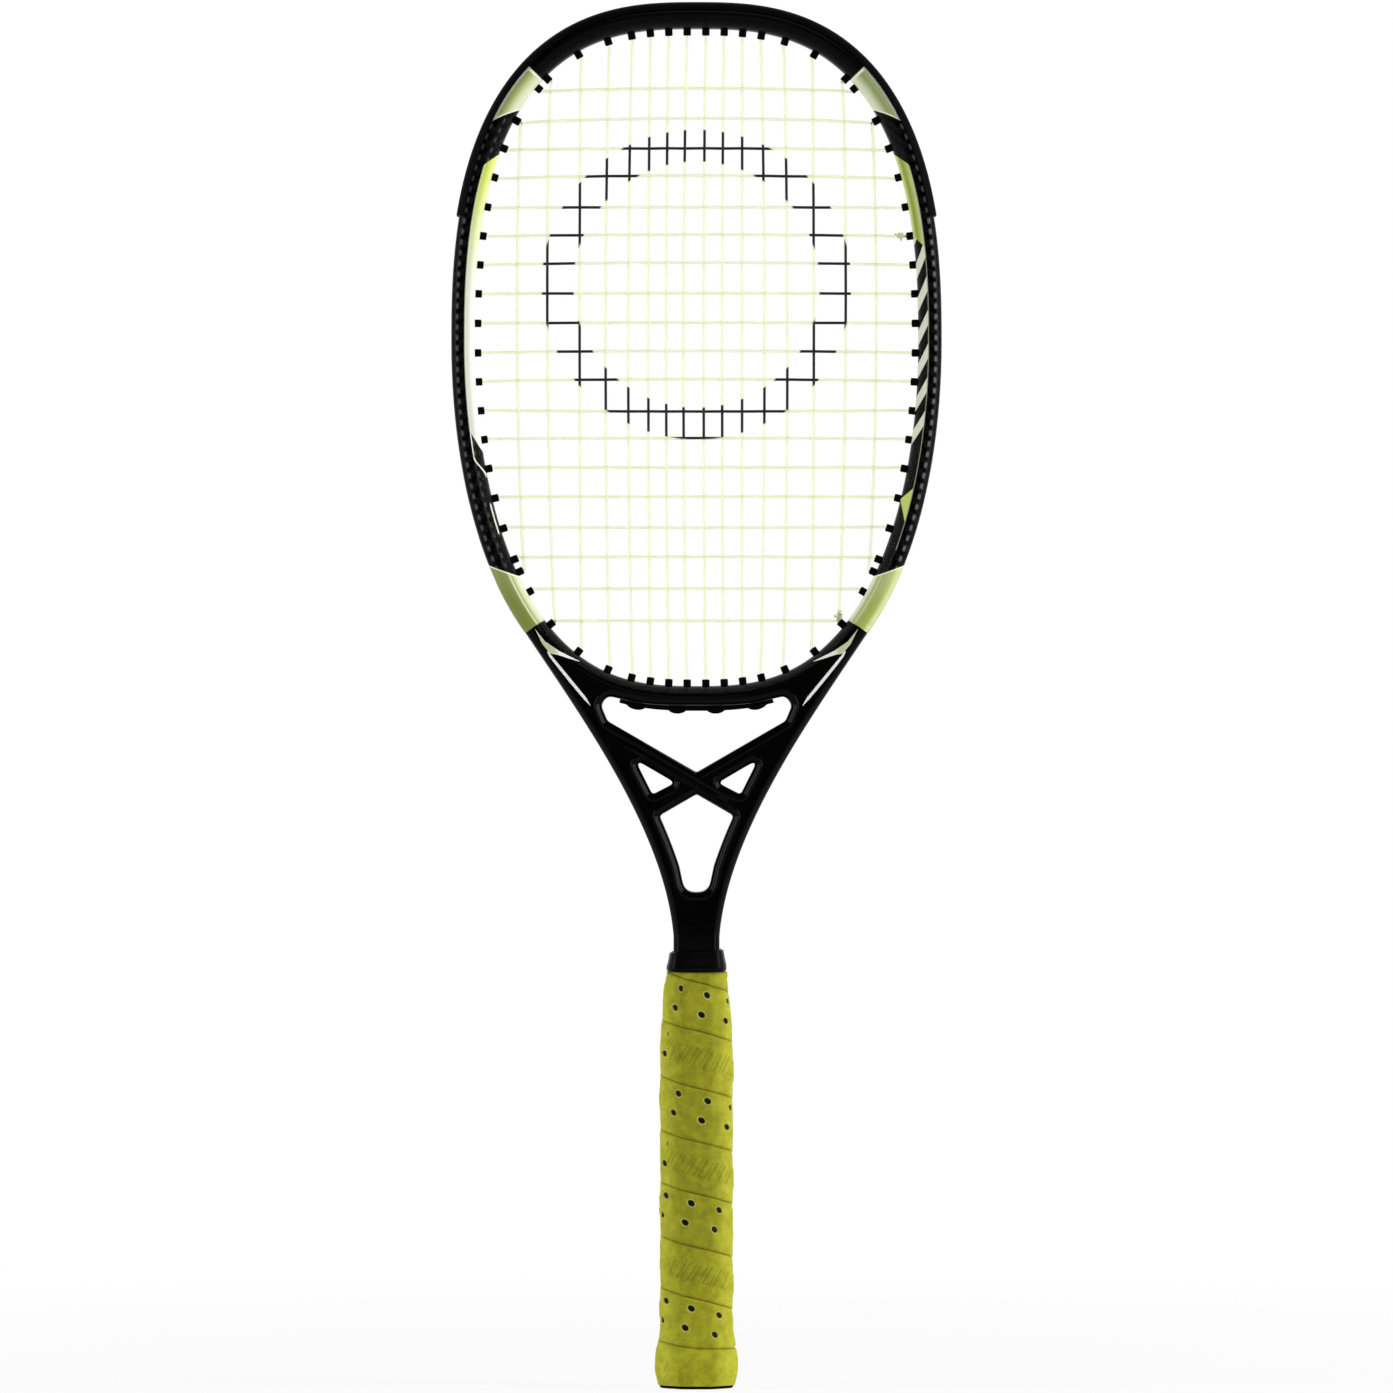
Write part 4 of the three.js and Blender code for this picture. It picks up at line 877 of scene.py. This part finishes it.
class Ring:
    """A rounded convex ring from the corners of its quarter, each cut three times at a quarter and three
    quarters of its sides. It is read by the share of its length, with its outward normals; share 0 is at +x,
    and it runs by the back, so the front's middle is at 0.75."""

    def __init__(self, quarter):
        upper = np.concatenate([quarter, quarter[::-1] * [-1, 1]])
        ring = np.concatenate([upper, upper[::-1] * [1, -1]])
        for _ in range(3):
            after = np.roll(ring, -1, axis=0)
            ring = np.stack([0.75 * ring + 0.25 * after, 0.25 * ring + 0.75 * after], axis=1).reshape(-1, 2)
        ring = np.concatenate([ring, ring[:1]])
        run = run_along(ring)
        self.around = float(run[-1])
        self.share = np.linspace(0, 1, 721)
        even = joined(*[np.interp(self.share[:-1] * run[-1], run, line) for line in ring.T])
        normal = right_of(unit(np.roll(even, -1, axis=0) - np.roll(even, 1, axis=0)))
        start = np.argmin(np.abs(np.arctan2(even[:, 1], even[:, 0])))
        rows = np.roll(np.hstack([even, normal]), -start, axis=0)
        self.lines = np.concatenate([rows, rows[:1]]).T

    def at(self, share, grow, height, scale=1.0):
        """Points at shares round the ring, grown outwards, at heights."""
        share, grow, height, scale = np.broadcast_arrays(share, grow, height, scale)
        x, y, nx, ny = (np.interp(share % 1.0, self.share, line) for line in self.lines)
        return joined(scale * x + grow * nx, scale * y + grow * ny, height)


def octagon(a, b):
    """A quarter octagon whose flats cover 0.42 of each half size, each corner cut again by 0.16."""
    path = np.array([(a, 0), (a, 0.42 * b), (0.42 * a, b), (0, b)])
    return blend(path[[1, 1, 2, 2]], path[[0, 2, 1, 3]], 0.16)


HANDLE = Ring(octagon(*GRIP_HALF))
NECK = Ring(np.array([(NECK_HALF, 5.93), (NECK_HALF - 2.3, 9.03)]))


def swell(height):
    """Growth of the handle at a height: straight runs between its marks, averaged over 5 mm."""
    spread = np.linspace(-2.5, 2.5, 11)
    return np.mean([np.interp(height + d, SWELL_AT, SWELL) for d in spread], axis=0)


def seam_height(turns):
    """Height of the seam line after a number of turns; the last turn runs level to the strip's start."""
    return np.interp(turns, SEAM_TURNS, SEAMS)


def hole_gaps(turns, below, floor):
    """Offsets along and across from the nearest hole of each of two rows, 12.9 mm apart along the strip; the
    holes are counted from the start of each perforated turn, which is every other one."""
    run = (turns - FRONT - floor((turns - 0.5) / 2.0) * 2.0) * HANDLE.around - 4.75 + (turns > 4.0) * 7.0
    return [((run + (shift + HOLE_PITCH / 2)) % HOLE_PITCH - HOLE_PITCH / 2, (below - row) * 1.15)
            for row, shift in HOLE_ROWS]


def rib_gap(strip, below):
    """Distance along the strip from the middle of the nearest slanted rib; they stand 4.6 mm apart."""
    return abs((strip + RIB_LEAN * below) % RIB_PITCH - RIB_PITCH / 2)


def make_tape(look):
    """Wound grip strip: a helical band whose upper edge slips under the turn above; pressed holes on every
    other turn and slanted ribs on the turns between."""
    turns = np.linspace(-0.55, STRIP_START, 1500)[:, None]
    upper, lower = seam_height(turns), seam_height(turns + 1)
    width = upper - lower
    strip = (turns - FRONT) * HANDLE.around
    place = (turns - 0.5) / 2 % 1.0
    share = np.linspace(0, 1, 52)
    below = width * share
    holed = smooth((place + 0.02) / 0.02) * smooth((0.56 - place) / 0.02)
    away = np.minimum(*[np.hypot(*gap) for gap in hole_gaps(turns, below, np.floor)])
    pressed = holed * (0.16 * np.exp(-((away - 1.95) / 0.42) ** 2) - 0.85 * smooth((1.75 - away) / 0.5))
    rib = smooth((RIB_HALF - rib_gap(strip, below)) / 0.5) * smooth((4.2 - np.abs(below - width / 2)) / 0.7)
    rib = rib * (1 - holed) * (turns < RIBS_END)
    edge = 0.55 * np.exp(-((width - below) / 0.5) ** 2) + 0.85 * np.exp(-(below / 0.75) ** 2)
    grow = 0.22 * np.sin(math.pi * share) - 0.22 + pressed + 0.38 * rib - edge
    below = np.concatenate([below, width * np.linspace(1, 0, 5)], axis=1)
    grow = np.concatenate([grow, np.full((len(turns), 5), -STRIP_BED)], axis=1)
    height = np.clip(upper - below, STRIP_FOOT, GRIP_TOP)
    tape = Shell()
    tape.loft(HANDLE.at(turns, grow + swell(height), height), joined(strip, below))
    tape.piece("grip_strip", look, "tape", "grip_tape", crease=60)


def make_collar(look):
    """Rubber collar: a turned profile with a top lip and a full lower bead carried round the neck, tipped up
    to the right by 0.054 of the distance across."""
    profile = np.array([
        (0.3, 0.0), (2.0, 0.0), (2.6, 0.25), (2.95, 0.9), (3.05, 1.9), (2.85, 3.1), (2.5, 4.4), (2.2, 5.8),
        (1.95, 7.2), (1.8, 8.1), (1.72, 8.5), (1.5, 8.75), (1.15, 8.8), (0.9, 9.0), (0.7, 9.2), (0.3, 9.2)])
    out, climb = profile.T[..., None]
    ring = NECK.at(np.linspace(0, 1, 96, endpoint=False), out, 0.0)
    ring[..., 2] = COLLAR_FOOT - 0.2 + climb + COLLAR_TIP * ring[..., 0] * smooth(climb / 6)
    collar = Shell()
    collar.grid(ring, wrap=(True, True))
    collar.piece("collar", look, "rubber", "grip_collar", crease=60)


def make_cap(look):
    """Butt cap: a rounded rim under the strip, a sunk plain disc in its foot and a stepped skirt inside."""
    foot = [(0.46, 0.0, 0.5), (0.5, 0.0, 0.42), (0.53, 0.0, 0.12), (0.55, 0.0, 0.0), (0.9, -0.35, 0.0),
            (1.0, -0.75, 0.0), (1.0, -0.3, 0.08), (1.0, 0.02, 0.3), (1.0, 0.15, 0.6), (1.0, 0.12, 0.95),
            (1.0, -0.05, 1.12), (1.0, -1.1, 1.16)]
    skirt = [(1.0, swell(height) - 2.2, height) for height in np.linspace(1.3, 26, 9)]
    inside = [(1.0, -4.3, 26.0), (1.0, -4.3, 2.4)]
    scale, grow, height = np.array(foot + skirt + inside).T[..., None]
    cap = Shell()
    cap.loft(HANDLE.at(np.linspace(0, 1, 128, endpoint=False), grow, height, scale))
    cap.piece("cap", look, "black_nylon", "butt_cap", crease=45)


# ---- looks

TOW = 1.5
STENCIL_HEIGHT, STENCIL_RING = 470.0, (52.5, 66.0)


def carbon(along, across):
    """Twill of 1.5 mm tows: over where (column - row) mod 4 is below 2; with each tow's own rounding."""
    over = (((along / TOW).floor() - (across / TOW).floor()) % 4.0) < 2.0
    return over, abs((along * (math.pi / TOW)).sine() * (across * (math.pi / TOW)).sine())


def hoop_lacquer():
    """Hoop paint by length from the top (a) and width outwards (u): black crown, lime shoulders with cream
    outlines, open carbon between, pale inner faces with slanted bars on the right."""
    look = Look("hoop_lacquer")
    s, u = look.along()
    _, y, _ = look.place()
    a, right = abs(s), s > 0.0

    # Left tone where s is negative, right tone where it is positive; where both tones are of one paint, the
    # difference between them is painted light and shade.
    def sides(left_tone, right_tone):
        return look.mix(right, left_tone, right_tone)

    pale, cream = (242, 245, 228), (236, 240, 214)
    crown_end, upper_end, patch_end, lower_start = 71.5, 87.9 + 1.2 * u, 108.8 + 1.45 * u, 291.8 - 0.9 * u
    girth = u + abs(y)
    over, tow = carbon(a, girth)
    grain = look.noise(look.join(s * 0.4, girth * 0.4, y * 0.4), 1.0)
    # Painted highlights: grey glints on the carbon weave in a band along the crown, with a second row on the
    # left's inner side; they are painted lighter on the right side.
    weave_highlight = u.band(6.8, 7.9, 0.4) + u.band(2.9, 3.6, 0.35) * (1.0 - right) * 0.7
    weave_highlight = weave_highlight * (a % 4.43).band(0.9, 2.9, 0.6)
    cloth = look.layered(look.mix(over * (0.35 + 0.65 * tow), (2, 2, 3), (17, 17, 18)),
                         (weave_highlight * (0.6 + 0.5 * grain), sides((84, 85, 86), (108, 109, 111))))

    # Upper lime band: the different tones of the left and right sides, and of its outer and middle width, are
    # painted light and shade on one lime paint; it turns pale inwards.
    lime_upper = look.layered(
        sides((172, 183, 118), (142, 152, 96)),
        (u.step(3.6, 6.6), sides((150, 160, 98), (160, 170, 118))),
        (u.step(5.2, 0.6), sides((228, 234, 202), (222, 228, 196))))
    trim_upper = (a - 72.2).band(-0.45, 0.45, 0.15).most((upper_end - a).band(0.1, 0.9, 0.15))
    trim_upper = trim_upper.most(u.step(6.3, 7.3))
    # Lower lime band: the left side's darker olive is painted shade, and the right side's lighter tones and
    # paler outer edge are painted light, all on one lime paint.
    lime_lower = look.layered(
        sides((130, 141, 72), (168, 181, 96)),
        ((a - lower_start).step(18.0, 2.0) * 0.6, sides((152, 161, 104), (198, 208, 152))),
        (u.step(6.8, 8.6) * right, (206, 216, 150)),
        (u.step(4.2, 3.6), sides((208, 216, 168), (170, 179, 124))),
        (u.band(2.4, 3.1, 0.25), sides((168, 176, 126), (196, 206, 146))),
        (u.step(2.2, 0.5), sides((232, 237, 206), (226, 231, 202))))
    trim_lower = (a - lower_start).band(0.1, 0.8, 0.15)

    fade = a.step(112.0, 178.0)
    left_paint = look.layered(
        look.mix(fade, (188, 202, 84), (208, 212, 198)),
        (u.step(3.4, 0.2), look.mix(fade, (230, 238, 140), (250, 251, 244))),
        (u.step(3.7, 4.1) * 0.5, pale))
    sweep = u - 4.1 + (a - 238.0).step(0.0, 9.0) * 3.7
    left_lines = (sweep.band(-0.3, 0.3, 0.15) * a.band(228.0, 247.0, 1.0)).most(
        u.band(1.0, 1.5, 0.15) * a.band(259.0, 272.0, 1.0))
    left_face = look.layered(cloth, ((a + 2.2 * u).step(236.9, 236.3), left_paint), (left_lines, pale))

    bars = ((a + 2.1 * u) % 14.2).band(0.0, 6.4, 0.25)
    lime_face = look.layered(look.mix(u.step(1.6, 3.9), (146, 158, 62), (188, 200, 134)),
                             (u.step(1.6, 0.0), (210, 216, 150)))
    right_face = look.layered(
        look.mix(bars, (4, 4, 5), (214, 219, 200)),
        ((a - 1.24 * u).step(144.7, 144.3), lime_face),
        ((a + 2.1 * u).step(240.8, 241.2), cloth),
        ((a + 1.3 * u).step(256.7, 257.1) * (a - 2.1 * u).step(257.8, 257.4), (192, 205, 112)))

    in_crown = a.step(crown_end + SOFT_EDGE, crown_end - SOFT_EDGE)
    in_upper = a.step(crown_end - SOFT_EDGE, crown_end + SOFT_EDGE) * (upper_end - a).past()
    in_lower = (a - lower_start).past()
    on_face = (a - patch_end).past() * u.step(4.35, 4.05)
    outline = (a - patch_end).past() * u.band(4.05, 4.35, 0.12) * (229.0 + right * 50.0 - a).step(0.0, 1.5)
    colour = look.layered(
        cloth, (on_face, sides(left_face, right_face)), (outline, (150, 154, 128)), (in_crown, (3, 3, 4)),
        (in_upper, look.mix(trim_upper, lime_upper, cream)),
        (in_lower, look.mix(trim_lower, lime_lower, cream)))
    bare = (1.0 - in_crown) * (1.0 - in_upper) * (1.0 - in_lower) * (1.0 - on_face)
    dust = look.noise(look.join(s, u, y), 3.0, 2.0)
    return look.finish(colour, 0.2 + 0.1 * grain + 0.08 * bare * over,
                       (bare * over * tow * 0.5 + dust * 0.08, 0.03, 0.6), Specular_IOR_Level=0.04)


def line_distance(x, z, points):
    """Distance to a line of (x, z, half width) points less its half width, which runs evenly between them."""
    nearest = None
    for (ax, az, start), (bx, bz, end) in zip(points, points[1:]):
        dx, dz = bx - ax, bz - az
        px, pz = x - ax, z - az
        share = ((px * dx + pz * dz) / (dx * dx + dz * dz)).most(0.0).least(1.0)
        px, pz = px - share * dx, pz - share * dz
        gap = (px * px + pz * pz).sqrt() - (start + share * (end - start))
        nearest = gap if nearest is None else nearest.least(gap)
    return nearest


def throat_lacquer():
    """Gloss black with a white blade and a white line either side of a pale green wedge under each joint."""
    look = Look("throat_lacquer")
    x, y, z = look.place()
    away = abs(x)
    blade = line_distance(away, z, [(68.6, 323.0, 0.05), (64.9, 317.2, 0.8), (61.4, 314.0, 1.5),
                                    (58.6, 312.9, 0.85), (54.0, 311.0, 0.5), (49.9, 309.4, 0.1)])
    line = line_distance(away, z, [(63.2, 313.4, 0.25), (62.1, 311.6, 0.48), (59.1, 307.8, 0.6),
                                   (53.5, 300.9, 0.66), (47.6, 293.8, 0.6), (45.2, 290.6, 0.1)])
    grain, fine = look.noise(look.join(x, y, z), 0.35, 4.0), look.noise(look.join(x, y, z), 2.6, 2.0)
    mark = look.mix(away.step(58.0, 61.0), (240, 242, 234), (196, 203, 166))
    colour = look.layered(look.mix(grain, (1, 1, 2), (4, 4, 5)), (blade.step(SOFT_EDGE, -SOFT_EDGE), mark),
                          (line.step(SOFT_EDGE, -SOFT_EDGE), (240, 242, 236)))
    return look.finish(colour, 0.1 + 0.06 * grain, (fine, 0.012, 0.2), Specular_IOR_Level=0.055)


def string_gut(name, clear):
    """Pale lime gut that light passes in part, with a plain black ring stencilled over the bed."""
    look = Look(name)
    x, y, z = look.place()
    run, _ = look.along()
    worn = look.noise(look.join(x, y, z), 0.8)
    z = z - STENCIL_HEIGHT
    stencil = (x * x + z * z).sqrt().band(*STENCIL_RING, 0.3)
    tone = look.noise(look.join(run * 0.12, 0.0), 1.0, 2.0)
    twist = look.noise(look.join(run * 3.0, 0.0), 1.0, 1.0)
    colour = look.layered(look.mix(tone, (250, 255, 208), (254, 255, 230)), (stencil, (2, 2, 2)))
    return look.finish(colour, 0.26 + 0.1 * worn + 0.4 * stencil, (twist, 0.02, 0.5),
                       Transmission_Weight=clear, Specular_IOR_Level=0.2)


def grip_suede():
    """Napped lime strip: mottled nap, dark pressed holes with pale rims, and a shaded edge at each seam."""
    look = Look("grip_suede")
    strip, below = look.along()
    x, y, z = look.place()
    spot = look.join(x, y, z)
    mottle, nap = look.noise(spot, 0.22, 4.0, 0.6), look.noise(spot, 2.2, 4.0, 0.65)
    turns = strip / HANDLE.around + FRONT
    holed = ((turns - 0.5) / 2.0 % 1.0).band(0.0, 0.55, 0.004)
    near, far = ((run * run + gap * gap).sqrt() for run, gap in hole_gaps(turns, below, Value.floor))
    away = near.least(far)
    # Painted shade in the grooves along the edges of the slanted ribs.
    groove = (rib_gap(strip, below).band(RIB_HALF, RIB_HALF + 0.6, 0.3) * below.band(7.0, 15.2, 0.4)
              * (1.0 - holed) * turns.step(RIBS_END + 0.02, RIBS_END - 0.02))
    shade = 0.5 + 1.5 * (mottle - 0.5) + 1.2 * (nap - 0.5)
    colour = look.layered(
        look.mix(shade, (114, 113, 10), (174, 173, 38)),
        (z.step(75.0, 5.0), look.mix(shade, (126, 125, 12), (190, 189, 42))),
        # Painted light: the handle's left and right flanks are paler than its front, as where side light
        # falls on the nap.
        (abs(x).step(7.0, 15.5) * 0.8, look.mix(shade, (166, 166, 26), (216, 216, 76))),
        (groove * 0.45, (96, 95, 14)),
        (away.band(1.7, 2.05, 0.15) * holed * 0.6, (206, 208, 130)),
        (below.step(0.85, 0.3) * 0.6, (92, 90, 14)),
        (away.step(1.6, 1.3) * holed, (14, 11, 5)))
    return look.finish(colour, 0.78 + 0.2 * nap, (nap + 0.3 * mottle, 0.2, 0.9), Sheen_Weight=0.8,
                       Sheen_Roughness=0.4, Sheen_Tint=linear(226, 229, 70), Specular_IOR_Level=0.25)


def plain(name, pattern, low, high, rough, relief, **feeds):
    """A look of two tones; a pattern of the place gives shares for its tone and roughness, and its relief."""
    look = Look(name)
    tone, worn, height = pattern(look, *look.place())
    return look.finish(look.mix(tone, low, high), rough[0] + rough[1] * worn, (height, *relief), **feeds)


def clouded(size, fine, detail):
    """Pattern of a moulded piece: cloudy tone and roughness, and a fine grain of its own size."""
    def pattern(look, x, y, z):
        spot = look.join(x, y, z)
        cloud = look.noise(spot, size)
        return cloud, cloud, look.noise(spot, fine, detail)
    return pattern


def foamed(look, x, y, z):
    spot = look.join(x, y, z)
    cell = look.node("TexVoronoi", {"Vector": spot, "Scale": 1.6}, feature="F1")
    return look.noise(spot, 0.4), cell, cell


def braided(look, x, y, z):
    over, tow = carbon(z, x + y)
    return over * tow, over, tow


def drawn(look, x, y, z):
    return [look.noise(look.join(x * 0.3, y * 6.0, z * 6.0), 1.0)] * 3


def woven(look, x, y, z):
    cloud = look.noise(look.join(x, y, z), 0.6)
    return cloud, cloud, (x * 9.0).sine() * (z * 9.0).sine()


# ---- the racket

nylon = plain("grommet_nylon", clouded(0.3, 4.0, 3.0), (3, 3, 4), (9, 9, 10), (0.42, 0.2), (0.04, 0.6),
              Specular_IOR_Level=0.02)
rubber = plain("collar_rubber", clouded(0.5, 5.0, 2.0), (1, 1, 2), (5, 5, 6), (0.26, 0.16), (0.05, 0.6),
               Specular_IOR_Level=0.05)
foam = plain("shell_foam", foamed, (96, 92, 80), (124, 119, 104), (0.85, 0.1), (0.15, 0.7))
steel = plain("fastener_steel", drawn, (150, 151, 153), (190, 191, 193), (0.25, 0.25), (0.03, 0.5),
              Metallic=1.0)
tube_look = plain("tube_composite", braided, (10, 10, 11), (38, 38, 41), (0.35, 0.15), (0.05, 0.6))
wrap_look = plain("finishing_wrap", woven, (10, 10, 10), (24, 24, 25), (0.6, 0.2), (0.05, 0.5))
make_hoop(hoop_lacquer())
make_throat(throat_lacquer())
make_guard(nylon)
make_strip("side_strip_right", nylon, GUARD_END + SEAM_GAP, JOINT - SEAM_GAP, "side_grommets_right")
make_strip("side_strip_left", nylon, -JOINT + SEAM_GAP, -GUARD_END - SEAM_GAP, "side_grommets_left")
make_strip("corner_strip_right", nylon, JOINT + SEAM_GAP, CORNER_END, "corner_grommets_right")
make_strip("corner_strip_left", nylon, -CORNER_END, -JOINT - SEAM_GAP, "corner_grommets_left")
make_bridge_strip(nylon)
make_mains(string_gut("main_gut", 0.95))
make_crosses(string_gut("cross_gut", 0.85))
make_tape(grip_suede())
make_collar(rubber)
make_cap(nylon)

# CAD nodes that are kept as they are, hidden in the handle
for name, look in (("pallet_front", foam), ("pallet_back", foam), ("butt_staple_left", steel),
                   ("butt_staple_right", steel), ("tape_tack", steel), ("core_tube", tube_look),
                   ("finishing_tape", wrap_look)):
    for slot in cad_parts[name].material_slots:
        slot.material = look
